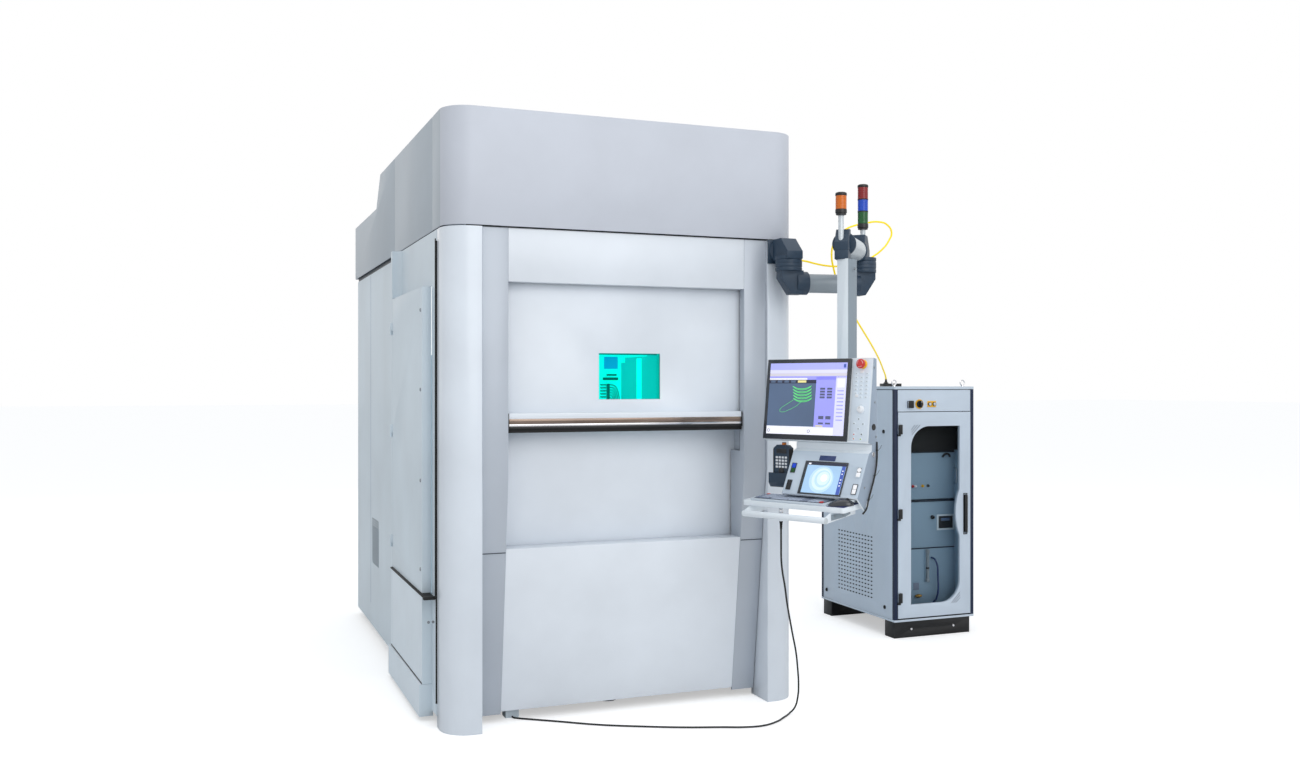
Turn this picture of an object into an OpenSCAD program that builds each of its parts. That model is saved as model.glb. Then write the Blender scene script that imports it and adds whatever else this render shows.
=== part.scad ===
// Laser welding cell: a walk-up cabinet with a lifting door, a console on a
// swivel arm and a separate laser source cabinet joined to it by a fibre.
// Millimetres. The origin is on the floor at the centre of the cell's plan.
// The door faces -Y, +X is to the right of somebody who faces the door.

/* [Cell] */
// Width over the front columns
cell_w = 1660; // [1600:4:1720]
// Depth from the column fronts to the rear wall
cell_d = 2840; // [2800:10:2900]
// Height of the hood's lower edge
hood_z = 2145; // [2120:5:2180]
// Height of the hood at the front
hood_h = 500; // [490:2:530]
// Height of the hood behind its step
hood_low_h = 328; // [280:2:350]
// Distance from the front to the hood's first seam
hood_seam_front = 281; // [250:1:310]
// Distance from the front to the hood's second seam
hood_seam_rear = 1288; // [1200:4:1400]
// Distance from the front to the top of the hood's slanted step
hood_step_at = 1785; // [1700:5:1850]
// Length of the hood's slanted step
hood_step_l = 150; // [100:5:200]
// Thickness of the folded sheet covers
sheet = 4; // [3:0.5:5]
// Gap under the covers, down to the floor
ground_gap = 45; // [40:1:60]
// Radius of the extraction outlet in the hood's top
outlet_r = 100; // [60:5:120]

/* [Front] */
// Width of a front column
col_w = 158; // [140:2:166]
// Depth of a front column
col_d = 170; // [150:2:190]
// Corner radius of the columns and of the hood's front
col_r = 120; // [80:2:130]
// Width of the grey pilaster beside each column
pilaster_w = 112; // [100:2:120]
// Width of the dark joint between a column and its pilaster
column_gap = 3; // [2:1:5]
// How far the pilasters lie behind the column fronts
pilaster_set = 12; // [8:1:20]
// Height at which the pilasters start to slope back
kink_z = 1070; // [1000:5:1120]
// How far the slope goes back on its way down
kick_back = 133; // [110:1:136]
// Height of the white header panel
header_h = 234; // [200:2:240]

/* [Door] */
// Height of the lower edge of the upper door wing
split_z = 1280; // [1260:2:1290]
// Height of the grip rail above that edge
grip_h = 68; // [50:1:80]
// How far the grip rail stands out
grip_out = 42; // [30:1:44]
// Height of the rubber safety edge
seal_h = 16; // [10:1:20]
// Height of the ledge on the lower front panel
ledge_z = 765; // [740:5:780]
// How far a wing reaches past the edge that hides it
wing_overlap = 90; // [40:5:95]
// Thickness of the upper door wing
upper_wing_t = 40; // [30:1:44]
// Thickness of the lower door wing
lower_wing_t = 30; // [24:1:34]
// Running gap between a wing and its guide
guide_gap = 0.5; // [0.3:0.1:0.8]
// Width of the safety window
window_w = 292; // [240:4:340]
// Distance of the safety window's middle to the right of the door's middle
window_x = 16; // [0:2:30]
// Height of the safety window
window_h = 205; // [160:5:240]
// Height of the lower edge of the safety window
window_z = 1406; // [1390:2:1440]
// Thickness of the safety window's pane
pane_t = 8; // [6:1:12]

/* [Left side] */
// How far the service door stands out
side_out = 44; // [40:1:60]
// Length of the service door
side_door_l = 807; // [780:1:840]
// Height of the service door's lower edge
side_door_z = 560; // [520:5:600]
// Height of the service door's upper edge
side_door_top = 1900; // [1850:5:1950]
// Height of the plinth box along the floor
plinth_top = 160; // [140:5:180]
// How far the plinth box stands out past the service door
plinth_out = 13; // [8:1:20]
// Number of slots in the side vent
vent_slots = 16; // [10:1:20]
// Radius of the service door's hinge pins
hinge_pin_r = 3; // [2.5:0.5:4]
// Radial play of the hinge pins
hinge_play = 0.06; // [0.04:0.01:0.08]

/* [Inside] */
// Height of the fixture table's top
table_z = 850; // [830:5:880]
// Width of the fixture table
table_w = 840; // [760:10:900]
// Length of the fixture table
table_l = 820; // [760:10:900]
// Spacing of the four threaded holes in the fixture table
hole_pitch = 400; // [300:10:500]
// Radius of the threaded holes in the fixture table
hole_r = 6; // [4:0.5:8]
// Height of the rails that carry the bridge
rail_z = 1630; // [1600:5:1660]
// Length of the focusing nozzle
nozzle_l = 110; // [80:5:130]

/* [Arm] */
// Distance of the wall joint from the column front
wall_reach = 104; // [95:1:120]
// Distance of the wall joint from the cell's outer side
wall_inset = 104; // [95:1:112]
// Height of the middle of both ribbed joint rings
ring_z = 2023; // [2000:1:2030]
// Height of a joint ring, both halves together
ring_h = 68; // [56:2:80]
// Radius of a joint ring
ring_r = 61; // [54:1:66]
// Distance between the arm's two vertical axes
arm_l = 362; // [340:2:400]
// Radius of the arm's round tube
tube_r = 43; // [36:1:48]
// Distance from the arm's far axis to the console's post
carrier_l = 379; // [360:1:400]
// Width of the post
post_w = 56; // [50:2:62]
// Depth of the post
post_d = 68; // [60:2:72]
// Height of the post's lower end
post_foot = 1300; // [1260:5:1340]

/* [Console] */
// Width of the console's housing
console_w = 523; // [515:1:530]
// Depth of the console's housing under the screen
console_t = 62; // [58:1:68]
// Distance from the post's axis to the console's back
console_back = 200; // [190:2:230]
// Height of the upper edge of the console
console_top = 1580; // [1560:5:1600]
// Height of the lower edge of the upper screen
console_mid = 1237; // [1220:1:1250]
// Height of the console's lower edge
console_foot = 967; // [950:1:980]
// Width of the upper screen with its frame
screen_w = 424; // [400:2:430]
// Thickness of the upper screen's frame
screen_t = 12; // [8:1:16]
// Width of the lower part of the console
desk_w = 370; // [350:2:380]
// Width of the keyboard tray
tray_w = 506; // [490:2:520]
// Depth of the keyboard tray
tray_d = 180; // [170:2:184]
// Length of the hand rail in front of the keyboard tray
rail_l = 412; // [380:2:440]
// Radius of the hand rail
rail_r = 13; // [11:0.5:14]
// Radius of the emergency stop's mushroom head
stop_r = 17; // [14:1:20]
// Travel of the emergency stop
stop_travel = 5; // [3:1:6]
// Radius of the override knob
knob_r = 15; // [11:1:18]
// Side of one square push button
button_s = 18; // [14:1:20]

/* [Laser cabinet] */
// Width of the laser cabinet
cab_w = 550; // [540:2:600]
// Depth of the laser cabinet
cab_d = 835; // [800:5:900]
// Height of the laser cabinet without its eyebolts
cab_h = 1459; // [1450:1:1500]
// Height of the plinth bars
cab_plinth_h = 95; // [80:1:100]
// Gap between the cell and the laser cabinet
cab_gap = 1136; // [1100:2:1200]
// Distance of the laser cabinet's front behind the columns
cab_setback = 920; // [880:5:980]
// Height of the laser cabinet's head panel
cab_head_h = 145; // [135:1:155]
// Width of a corner post of the laser cabinet
cab_post = 22; // [20:1:24]
// Corner radius of the cabinet door's window
cab_window_r = 125; // [80:5:140]

/* [Hidden] */
$fn = 64;

// Colours
white = [0.86, 0.89, 0.93];
silver = [0.78, 0.79, 0.83];
light_grey = [0.74, 0.78, 0.80];
slate = [0.17, 0.22, 0.29];
navy = [0.05, 0.11, 0.33];
pale_blue = [0.66, 0.74, 0.83];
black = [0.08, 0.08, 0.09];
steel = [0.55, 0.60, 0.64];

// Small gaps
seat = 0.3;         // between parts that rest against each other
seam = 0.4;         // between neighbouring covers

// Places worked out from the sizes above
front_y = -cell_d / 2;
rear_y = cell_d / 2;
side_x = cell_w / 2;
col_in_x = side_x - col_w;
pil_out_x = col_in_x - column_gap;
pil_in_x = pil_out_x - pilaster_w;
pil_y = front_y + pilaster_set;
pil_foot_z = 33;
cover_top = hood_z - 5;
base_top = ground_gap + 120;
header_z = hood_z - header_h;
rear_side_x = side_x - 16;
frame_out = side_x - sheet - seat;
post_s = 80;
beam_z = cover_top - 80;
strip_y = front_y + col_d + 6;
side_front_y = front_y + 283;
side_rear_y = side_front_y + side_door_l;
side_post_l = 36;
rear_start_y = side_rear_y + 4 + side_post_l;
side_face_x = -side_x - side_out;

// Front surface of the pilasters and the lower panel at a height
function slope_y(z) = pil_y + (z < kink_z ? kick_back * (kink_z - z) / (kink_z - pil_foot_z) : 0);

// Door planes
upper_wing_y = pil_y + 58;
lower_wing_y = upper_wing_y + upper_wing_t + 55;
guide_y = upper_wing_y - 10;
guide_low_y = lower_wing_y - 10;
guide_rear_y = lower_wing_y + lower_wing_t + 10;
guide_in_x = pil_in_x + 22;
guide_out_x = guide_in_x + 65;
guide_step_z = split_z - 115;
guide_top_z = hood_z + hood_h - 85;
wing_x = guide_in_x + 15;
lower_wing_top = split_z + 20;

module span(x, y, z) {
    translate([x[0], y[0], z[0]]) cube([x[1] - x[0], y[1] - y[0], z[1] - z[0]]);
}

module both_sides() {
    children();
    mirror([1, 0, 0]) children();
}

// Extrudes an outline drawn in Y and Z along X, from -w/2 to w/2
module across(w) {
    rotate([90, 0, 90]) translate([0, 0, -w / 2]) linear_extrude(w) children();
}

module round_plan(w, d, r) {
    translate([r, 0]) square([w - r, d]);
    translate([0, r]) square([w, d - r]);
    intersection() {
        translate([r, r]) circle(r);
        square(r + 1);
    }
}

// ---------------------------------------------------------------- cell frame

module base_frame() {
    x = side_x - 66;
    y0 = guide_low_y + 15;
    y1 = rear_y - sheet - 16;
    beam = 80;
    socket_x = -493;
    color("dimgray") {
        span([-x, x], [y0, y1], [base_top - 12, base_top]);
        for (bx = [-x, -beam / 2, x - beam])
            span([bx, bx + beam], [y0, y1], [ground_gap, base_top]);
        for (by = [y0, -beam / 2, y1 - beam])
            span([-x, x], [by, by + beam], [ground_gap, base_top]);
        for (fx = [-x + beam, 0, x - beam], fy = [y0 + 2 * beam, 0, y1 - beam])
            translate([fx, fy, 0]) cylinder(h = ground_gap, r = 45);
        span([socket_x - 30, socket_x + 30], [y0 + 20, y0 + beam], [0, ground_gap]);
    }
}

// A square tube along one axis: 0 for X, 1 for Y, 2 for Z
module tube(x, y, z, along) {
    t = 6;
    e = [for (i = [0:2]) i == along ? -1 : t];
    difference() {
        span(x, y, z);
        span([x[0] + e[0], x[1] - e[0]], [y[0] + e[1], y[1] - e[1]], [z[0] + e[2], z[1] - e[2]]);
    }
}

module frame_posts() {
    in_x = frame_out - post_s;
    rear_out = rear_side_x - sheet - seat;
    rail_top = hood_z + 12;
    color("gray") {
        both_sides() {
            tube([in_x, frame_out], [front_y + col_d + seat, front_y + col_d + post_s],
                [base_top + seat, beam_z], 2);
            for (y = [rear_start_y + 8, rear_y - sheet - seat - post_s])
                tube([in_x, rear_out], [y, y + post_s], [base_top + seat, beam_z], 2);
            tube([in_x, rear_out], [front_y + col_d + seat, rear_y - sheet - seat],
                [beam_z + seat, rail_top], 1);
            for (y = [front_y + col_d + 10, front_y + hood_seam_front + 40, rear_y - 200])
                span([rear_out - 1, frame_out], [y, y + 60], [rail_top - 10, rail_top]);
        }
        for (y = [guide_rear_y + seat, 320, rear_y - sheet - 100])
            tube([-in_x + seat, in_x - seat], [y, y + 60], [beam_z + seat, cover_top], 0);
    }
}

module front_columns() {
    color(white) both_sides()
        translate([-side_x, front_y, 0]) difference() {
            linear_extrude(cover_top) round_plan(col_w, col_d, col_r);
            translate([sheet, sheet, -1]) linear_extrude(cover_top + 2)
                round_plan(col_w - 2 * sheet, col_d - 2 * sheet, col_r - sheet);
        }
}

module pilasters() {
    face = [[pil_y, cover_top], [pil_y, kink_z], [slope_y(pil_foot_z), pil_foot_z],
        [slope_y(pil_foot_z) + sheet, pil_foot_z], [pil_y + sheet, kink_z],
        [pil_y + sheet, cover_top]];
    cheek = [[pil_y, cover_top], [pil_y, kink_z], [slope_y(pil_foot_z), pil_foot_z],
        [max(guide_low_y - seat, slope_y(pil_foot_z) + sheet), pil_foot_z],
        [guide_low_y - seat, 200], [guide_low_y - seat, guide_step_z],
        [guide_y - seat, guide_step_z], [guide_y - seat, cover_top]];
    color(silver) both_sides() translate([-pil_out_x, 0, 0]) {
        translate([pilaster_w / 2, 0, 0]) across(pilaster_w) polygon(face);
        for (x = [sheet / 2 + 28, pilaster_w - sheet / 2])
            translate([x, 0, 0]) across(sheet) polygon(cheek);
    }
}

module header_panel() {
    x = pil_in_x - seat;
    depth = upper_wing_y - pil_y - 12;
    color(white) difference() {
        span([-x, x], [pil_y, pil_y + depth], [header_z, cover_top]);
        span([-x + sheet, x - sheet], [pil_y + sheet, pil_y + depth + 1],
            [header_z + sheet, cover_top - sheet]);
    }
}

module lower_front_panel() {
    t = 18;
    outline = [[slope_y(ground_gap), ground_gap], [slope_y(ledge_z), ledge_z],
        [lower_wing_y - 6, ledge_z], [lower_wing_y - 6, ledge_z - t],
        [slope_y(ledge_z) + t, ledge_z - t], [slope_y(ground_gap) + t, ground_gap]];
    color(white) across(2 * (pil_in_x - seat)) polygon(outline);
}

module guide_side() {
    top = [guide_step_z, guide_top_z];
    low = [base_top + seat, lower_wing_top + 10];
    slot = [guide_in_x - 1, wing_x + guide_gap];
    difference() {
        union() {
            span([guide_in_x, guide_out_x], [guide_y, guide_rear_y], top);
            span([guide_in_x, guide_out_x], [guide_low_y, guide_rear_y], [low[0], top[0] + 1]);
        }
        span(slot, [upper_wing_y - guide_gap, upper_wing_y + upper_wing_t + guide_gap],
            [top[0] - 1, top[1] + 1]);
        span(slot, [lower_wing_y - guide_gap, lower_wing_y + lower_wing_t + guide_gap],
            [low[0] - 1, low[1]]);
    }
}

module door_guides() {
    color("gray") both_sides() guide_side();
}

// ---------------------------------------------------------------------- hood

module hood_front() {
    l = hood_seam_front - seam / 2;
    color(silver) translate([-side_x, front_y, hood_z]) difference() {
        linear_extrude(hood_h) hood_plan(cell_w, l, col_r);
        translate([sheet, sheet, -1]) linear_extrude(hood_h - sheet + 1)
            hood_plan(cell_w - 2 * sheet, l, col_r - sheet);
    }
}

module hood_plan(w, l, r) {
    translate([0, r]) square([w, l - r]);
    translate([r, 0]) square([w - 2 * r, r + 1]);
    for (x = [r, w - r]) translate([x, r]) circle(r);
}

module hood_middle() {
    y = [front_y + hood_seam_front + seam / 2, front_y + hood_seam_rear - seam / 2];
    color(silver) difference() {
        span([-side_x, side_x], y, [hood_z, hood_z + hood_h]);
        span([-side_x + sheet, side_x - sheet], [y[0] - 1, y[1] + 1],
            [hood_z - 1, hood_z + hood_h - sheet]);
    }
}

function hood_outline(inset) =
    let (start = front_y + hood_seam_rear + seam / 2, step = front_y + hood_step_at)
    [[start - (inset > 0 ? 1 : 0), hood_z - (inset > 0 ? 1 : 0)],
    [rear_y - inset, hood_z - (inset > 0 ? 1 : 0)],
    [rear_y - inset, hood_z + hood_low_h - inset],
    [step + hood_step_l - inset / 2, hood_z + hood_low_h - inset],
    [step - inset / 2, hood_z + hood_h - inset],
    [start - (inset > 0 ? 1 : 0), hood_z + hood_h - inset]];

module hood_rear() {
    outlet_y = (front_y + hood_step_at + hood_step_l + rear_y) / 2;
    outlet_h = 60;
    collar = 6;
    color(silver) difference() {
        union() {
            difference() {
                across(cell_w) polygon(hood_outline(0));
                across(cell_w - 2 * sheet) polygon(hood_outline(sheet));
            }
            translate([0, outlet_y, hood_z + hood_low_h - sheet])
                cylinder(h = outlet_h + sheet, r = outlet_r + collar);
        }
        translate([0, outlet_y, hood_z + hood_low_h - 2 * sheet])
            cylinder(h = outlet_h + 3 * sheet, r = outlet_r);
    }
}

// ---------------------------------------------------------------- side panels

knuckle_r = hinge_pin_r + 2.5;
hinge_x = side_face_x - knuckle_r - 0.5;
hinge_y = side_rear_y + 2;
knuckle_h = 40;
hinge_zs = [side_door_z + 120, (side_door_z + side_door_top) / 2, side_door_top - 160];

// The lug and pin that stand on the fixed post
module hinge_fixed(z) {
    translate([hinge_x, hinge_y, z - 20]) cylinder(h = 20, r = knuckle_r);
    span([hinge_x - 1, side_face_x + 1], [hinge_y + 3, hinge_y + 14], [z - 20, z]);
    translate([hinge_x, hinge_y, z - 1]) cylinder(h = knuckle_h + 1, r = hinge_pin_r);
}

// The knuckle and leaf that turn with the door
module hinge_moving(z) {
    difference() {
        translate([hinge_x, hinge_y, z + 0.5]) cylinder(h = knuckle_h - 0.5, r = knuckle_r);
        translate([hinge_x, hinge_y, z - 1])
            cylinder(h = knuckle_h + 3, r = hinge_pin_r + hinge_play);
    }
    span([hinge_x - 1, side_face_x + 1], [hinge_y - 16, hinge_y - hinge_pin_r - 1],
        [z + 0.5, z + knuckle_h]);
}

module left_side_panel() {
    x_in = -side_x + sheet;
    post_y = [side_rear_y + 4, rear_start_y];
    cove_r = side_out;
    inner_x = -rear_side_x + sheet;
    color(light_grey) {
        span([-side_x, x_in], [strip_y, side_front_y - seam], [ground_gap, cover_top]);
        span([-side_x, x_in], [side_front_y, side_rear_y - cove_r],
            [side_door_top + 5, cover_top]);
        difference() {
            union() {
                span([side_face_x, inner_x], post_y, [plinth_top + seam, beam_z - seat]);
                span([side_face_x, x_in], post_y, [beam_z - 1, cover_top]);
                span([side_face_x, x_in], [side_rear_y - cove_r + seat, post_y[0] + 1],
                    [side_door_top + 5, cover_top]);
            }
            translate([side_face_x, side_rear_y - cove_r + seat, side_door_top])
                cylinder(h = cover_top, r = cove_r);
        }
        difference() {
            span([side_face_x, x_in], [side_front_y, side_rear_y],
                [plinth_top + seam, side_door_z - 7]);
            span([side_face_x + sheet, x_in + 1], [side_front_y + sheet, side_rear_y - sheet],
                [plinth_top + seam + sheet, side_door_z - 7 - sheet]);
        }
        difference() {
            span([side_face_x - plinth_out, x_in], [side_front_y - 3, rear_start_y],
                [20, plinth_top]);
            span([side_face_x - plinth_out + sheet, x_in + 1],
                [side_front_y - 3 + sheet, rear_start_y - sheet], [19, plinth_top - sheet]);
        }
        for (z = hinge_zs) hinge_fixed(z);
    }
}

module side_door() {
    x_in = -side_x - 4;
    color(light_grey) {
        difference() {
            span([side_face_x, x_in], [side_front_y, side_rear_y],
                [side_door_z, side_door_top]);
            span([side_face_x + sheet, x_in + 1], [side_front_y + sheet, side_rear_y - sheet],
                [side_door_z + sheet, side_door_top - sheet]);
        }
        for (z = hinge_zs) hinge_moving(z);
    }
}

module right_side_panel() {
    x = [side_x - sheet, side_x];
    color(light_grey) {
        span(x, [strip_y, side_front_y - seam], [ground_gap, cover_top]);
        span(x, [side_front_y, rear_start_y], [plinth_top + seam, cover_top]);
        span(x, [side_front_y, rear_start_y], [ground_gap, plinth_top]);
    }
}

module rear_side_panels() {
    vent_y = [front_y + 1948, front_y + 2204];
    vent_z = 421;
    vent_pitch = 14;
    seam_y = front_y + 2266;
    top = cover_top - 12;
    color(light_grey) {
        both_sides() span([rear_side_x - sheet, rear_side_x], [seam_y + seam, rear_y - sheet],
            [ground_gap, top]);
        span([rear_side_x - sheet, rear_side_x], [rear_start_y + seam, seam_y],
            [ground_gap, top]);
        difference() {
            span([-rear_side_x, -rear_side_x + sheet], [rear_start_y + seam, seam_y],
                [ground_gap, top]);
            for (i = [0:vent_slots - 1])
                span([-rear_side_x - 1, -rear_side_x + sheet + 1], vent_y,
                    [vent_z + i * vent_pitch, vent_z + i * vent_pitch + 6]);
        }
    }
}

module rear_wall() {
    x = rear_side_x - sheet - seat;
    color(light_grey) span([-x, x], [rear_y - sheet, rear_y], [ground_gap, cover_top - 12]);
}

// --------------------------------------------------------------------- inside

bed_z = [base_top + seat, table_z - 60];
table_y = [front_y + 600, front_y + 600 + table_l];
table_hole_y = (table_y[0] + table_y[1]) / 2;
rail_in_x = table_w / 2 + 140;
rail_out_x = rail_in_x + 80;
rail_y = [front_y + 520, front_y + 1670];
bridge_y = [front_y + 860, front_y + 1060];
bridge_h = 200;
carriage_t = 60;
ram_t = 70;
ram_y = bridge_y[0] - carriage_t - ram_t / 2 - 2 * seat;
ram_foot = rail_z - 300;

module machine_bed() {
    wall = 20;
    x = table_w / 2 + 50;
    y = [table_y[0] - 60, table_y[1] + 60];
    color("darkslategray") difference() {
        span([-x, x], y, bed_z);
        for (sx = [-x + wall, wall / 2])
            span([sx, sx + x - 1.5 * wall], [y[0] + wall, y[1] - wall],
                [bed_z[0] - 1, bed_z[1] - 2 * wall]);
    }
}

module work_table() {
    color(steel) difference() {
        span([-table_w / 2, table_w / 2], table_y, [bed_z[1] + seat, table_z]);
        for (x = [-1, 1], y = [-1, 1])
            translate([x * hole_pitch / 2, table_hole_y + y * hole_pitch / 2, table_z - 40])
                cylinder(h = 50, r = hole_r);
    }
}

module axis_rails() {
    wall = 12;
    color("gray") both_sides() {
        difference() {
            span([rail_in_x, rail_out_x], rail_y, [base_top + seat, rail_z - 30]);
            span([rail_in_x + wall, rail_out_x - wall], [rail_y[0] + wall, rail_y[1] - wall],
                [base_top, rail_z - 30 - 2 * wall]);
        }
        span([rail_in_x + 25, rail_in_x + 55], rail_y, [rail_z - 30, rail_z]);
    }
}

module y_bridge() {
    color(steel) difference() {
        span([-rail_out_x, rail_out_x], bridge_y, [rail_z + seat, rail_z + bridge_h]);
        span([-rail_in_x + 20, rail_in_x - 20], [bridge_y[0] + 30, bridge_y[1] - 30],
            [rail_z + 30, rail_z + bridge_h - 30]);
    }
}

module x_carriage() {
    color("silver") span([-100, 100], [bridge_y[0] - seat - carriage_t, bridge_y[0] - seat],
        [rail_z + 20, rail_z + bridge_h - 20]);
}

module z_ram() {
    head_r = 45;
    lens_h = 60;
    color("silver") {
        span([-60, 60], [ram_y - ram_t / 2, ram_y + ram_t / 2], [ram_foot, ram_foot + 660]);
        translate([0, ram_y, ram_foot - lens_h - seat]) cylinder(h = lens_h, r = head_r);
        translate([0, ram_y, ram_foot - lens_h - seat - nozzle_l])
            cylinder(h = nozzle_l, r1 = 6, r2 = head_r - 12);
        translate([0, ram_y - ram_t / 2 - 22, ram_foot + 90]) cylinder(h = 150, r = 20);
        span([-20, 20], [ram_y - ram_t / 2 - 24, ram_y - ram_t / 2 + 1],
            [ram_foot + 100, ram_foot + 160]);
    }
}

module partition_wall() {
    x = frame_out - post_s - seat;
    color(white) span([-x, x], [300, 306], [base_top + seat, cover_top - 80]);
}

module lamp_bar() {
    color("white") span([-350, 350], [262, 300 - seat], [cover_top - 240, cover_top - 200]);
}

module switch_cabinet() {
    x = 650;
    y = [rear_y - 720, rear_y - 120];
    z = [base_top + seat, cover_top - 240];
    wall = 3;
    color(light_grey) difference() {
        span([-x, x], y, z);
        span([-x + wall, x - wall], [y[0] + wall, y[1] - wall], [z[0] - 1, z[1] - wall]);
    }
}

module door_window_hole(extra) {
    span([window_x - window_w / 2, window_x + window_w / 2], [upper_wing_y - extra, upper_wing_y + upper_wing_t + extra],
        [window_z, window_z + window_h]);
}

module upper_wing() {
    y = [upper_wing_y, upper_wing_y + upper_wing_t];
    z = [split_z - seal_h, header_z + wing_overlap];
    wall = 5;
    color(white) difference() {
        span([-wing_x, wing_x], y, z);
        for (b = [[z[0] + wall, window_z - wall], [window_z + window_h + wall, z[1] - wall]])
            span([-wing_x + wall, wing_x - wall], [y[0] + wall, y[1] + 1], b);
        door_window_hole(1);
    }
}

module safety_window() {
    y = upper_wing_y + 3;
    color([0, 0.9, 0.8, 0.6]) span([window_x - window_w / 2, window_x + window_w / 2],
        [y, y + pane_t], [window_z, window_z + window_h]);
}

module grip_rail() {
    y = upper_wing_y;
    top = split_z + grip_h;
    outline = [[y, top], [y - grip_out + 4, top - 5], [y - grip_out, top - 10],
        [y - grip_out, top - 28], [y - grip_out + 8, top - 31],
        [y - grip_out + 12, split_z + 26], [y - grip_out + 12, split_z + 8],
        [y - grip_out + 8, split_z + 4], [y - grip_out + 8, split_z], [y, split_z]];
    color("silver") across(2 * pil_in_x - 4) polygon(outline);
}

module edge_seal() {
    color(black) span([-pil_in_x + 2, pil_in_x - 2],
        [upper_wing_y - grip_out + 8, upper_wing_y - 2], [split_z - seal_h, split_z]);
}

module lower_wing() {
    y = [lower_wing_y, lower_wing_y + lower_wing_t];
    z = [ledge_z - wing_overlap + 30, lower_wing_top];
    wall = 4;
    color(white) difference() {
        span([-wing_x, wing_x], y, z);
        span([-wing_x + wall, wing_x - wall], [y[0] + wall, y[1] + 1], [z[0] + wall, z[1] - wall]);
    }
}

// ------------------------------------------------------------------------ arm

wall_axis = [side_x - wall_inset, front_y - wall_reach];
arm_turn = -8.7;
far_axis = wall_axis + arm_l * [cos(arm_turn), sin(arm_turn)];
carrier_turn = -132.1;
post_axis = far_axis + carrier_l * [cos(carrier_turn), sin(carrier_turn)];
console_turn = -64.5;
joint_gap = 0.5;
barrel_end = 85;
block_w = 78;
flange_r = 52;
flange_t = 12;
housing_top = hood_z - 5;
tube_z = ring_z - 88;
drum_z = ring_z + 62;
carrier_y = -18;

module at_wall_axis() {
    translate([wall_axis[0], wall_axis[1], 0]) rotate([0, 0, arm_turn]) children();
}

module at_far_axis() {
    translate([far_axis[0], far_axis[1], 0]) rotate([0, 0, carrier_turn]) children();
}

module at_post() {
    translate([post_axis[0], post_axis[1], 0]) rotate([0, 0, console_turn]) children();
}

// One half of a ribbed joint ring: two ribs with a groove between them
module ring_half(z, h) {
    groove = 2.5;
    rotate_extrude() polygon([[0, z], [ring_r, z], [ring_r, z + h * 0.4],
        [ring_r - groove, z + h * 0.5], [ring_r, z + h * 0.6], [ring_r, z + h], [0, z + h]]);
}

module wall_housing() {
    plate_h = 108;
    body_y = front_y - 10 - flange_t;
    roof = [[body_y, housing_top], [wall_axis[1] + 5, housing_top],
        [wall_axis[1] - ring_r, housing_top - 64], [wall_axis[1] - ring_r, ring_z + 20],
        [body_y, ring_z + 20]];
    clip_x = 1110;
    rod_y = front_y + 145;
    gland_y = front_y + 140;
    gland_z = 2064;
    fibre_r = 4.5;
    color(slate) {
        span([wall_axis[0] - 56, wall_axis[0] + 56], [front_y - 10, front_y - seat],
            [housing_top - plate_h, housing_top]);
        translate([wall_axis[0], front_y - 9, housing_top - flange_r])
            rotate([90, 0, 0]) cylinder(h = flange_t + 2, r = flange_r);
        translate([wall_axis[0], 0, 0]) across(block_w) polygon(roof);
        translate([wall_axis[0], wall_axis[1], 0])
            ring_half(ring_z + joint_gap / 2, ring_h / 2 - joint_gap / 2);
        span([side_x + seat, side_x + 8], [rod_y - 22, rod_y + 22], [1930, 2085]);
        translate([side_x + 7, rod_y, 1948]) rotate([0, 90, 0])
            cylinder(h = clip_x - side_x - 17, r = 9);
        span([clip_x - 12, clip_x + 8], [rod_y - 52, rod_y + 12], [1938, 1980]);
        translate([side_x + 7, gland_y, gland_z]) rotate([0, 90, 0])
            cylinder(h = 9, r = 2.4 * fibre_r);
    }
}

// A cast elbow that hangs under a ring and turns into a level barrel
module elbow() {
    barrel_r = tube_r + 10;
    foot = tube_z - barrel_r + 1;
    out_x = -46;
    outline = [[out_x, ring_z - ring_h / 2 + 1], [out_x, tube_z + 22], [2, foot], [58, foot],
        [58, ring_z - ring_h / 2 + 1]];
    rotate([90, 0, 0]) translate([0, 0, -block_w / 2]) linear_extrude(block_w) polygon(outline);
    translate([28, 0, tube_z]) rotate([0, 90, 0]) cylinder(h = barrel_end - 28, r = barrel_r);
    ring_half(ring_z - ring_h / 2, ring_h / 2 - joint_gap / 2);
}

module arm_elbows() {
    color(slate) at_wall_axis() {
        elbow();
        translate([arm_l, 0, 0]) rotate([0, 0, 180]) elbow();
    }
}

module arm_tube() {
    color("silver") at_wall_axis() translate([barrel_end, 0, tube_z]) rotate([0, 90, 0])
        cylinder(h = arm_l - 2 * barrel_end, r = tube_r);
}

drum_start = 78;
head_l = 38;

module far_housing() {
    top = housing_top + 18;
    roof = [[66, top], [-4, top], [-ring_r + 2, top - 62], [-ring_r + 2, ring_z + 20],
        [66, ring_z + 20]];
    drum_r = 47;
    color(slate) at_far_axis() {
        translate([0, carrier_y, 0]) {
            rotate([90, 0, 0]) translate([0, 0, -block_w / 2]) linear_extrude(block_w)
                polygon(roof);
            translate([65, 0, drum_z]) rotate([0, 90, 0])
                cylinder(h = drum_start - 65, r = flange_r);
            translate([drum_start - 1, 0, drum_z]) rotate([0, 90, 0])
                cylinder(h = carrier_l - head_l - drum_start + 1, r = drum_r);
        }
        ring_half(ring_z + joint_gap / 2, ring_h / 2 - joint_gap / 2);
    }
}

pole_r = 12;
amber_at = [carrier_l + 20, carrier_y - 4];
block_foot = ring_z - 10;
block_seam = ring_z + 29;
block_top = ring_z + 122;
head_w = 59;
head_front = 36;

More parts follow.
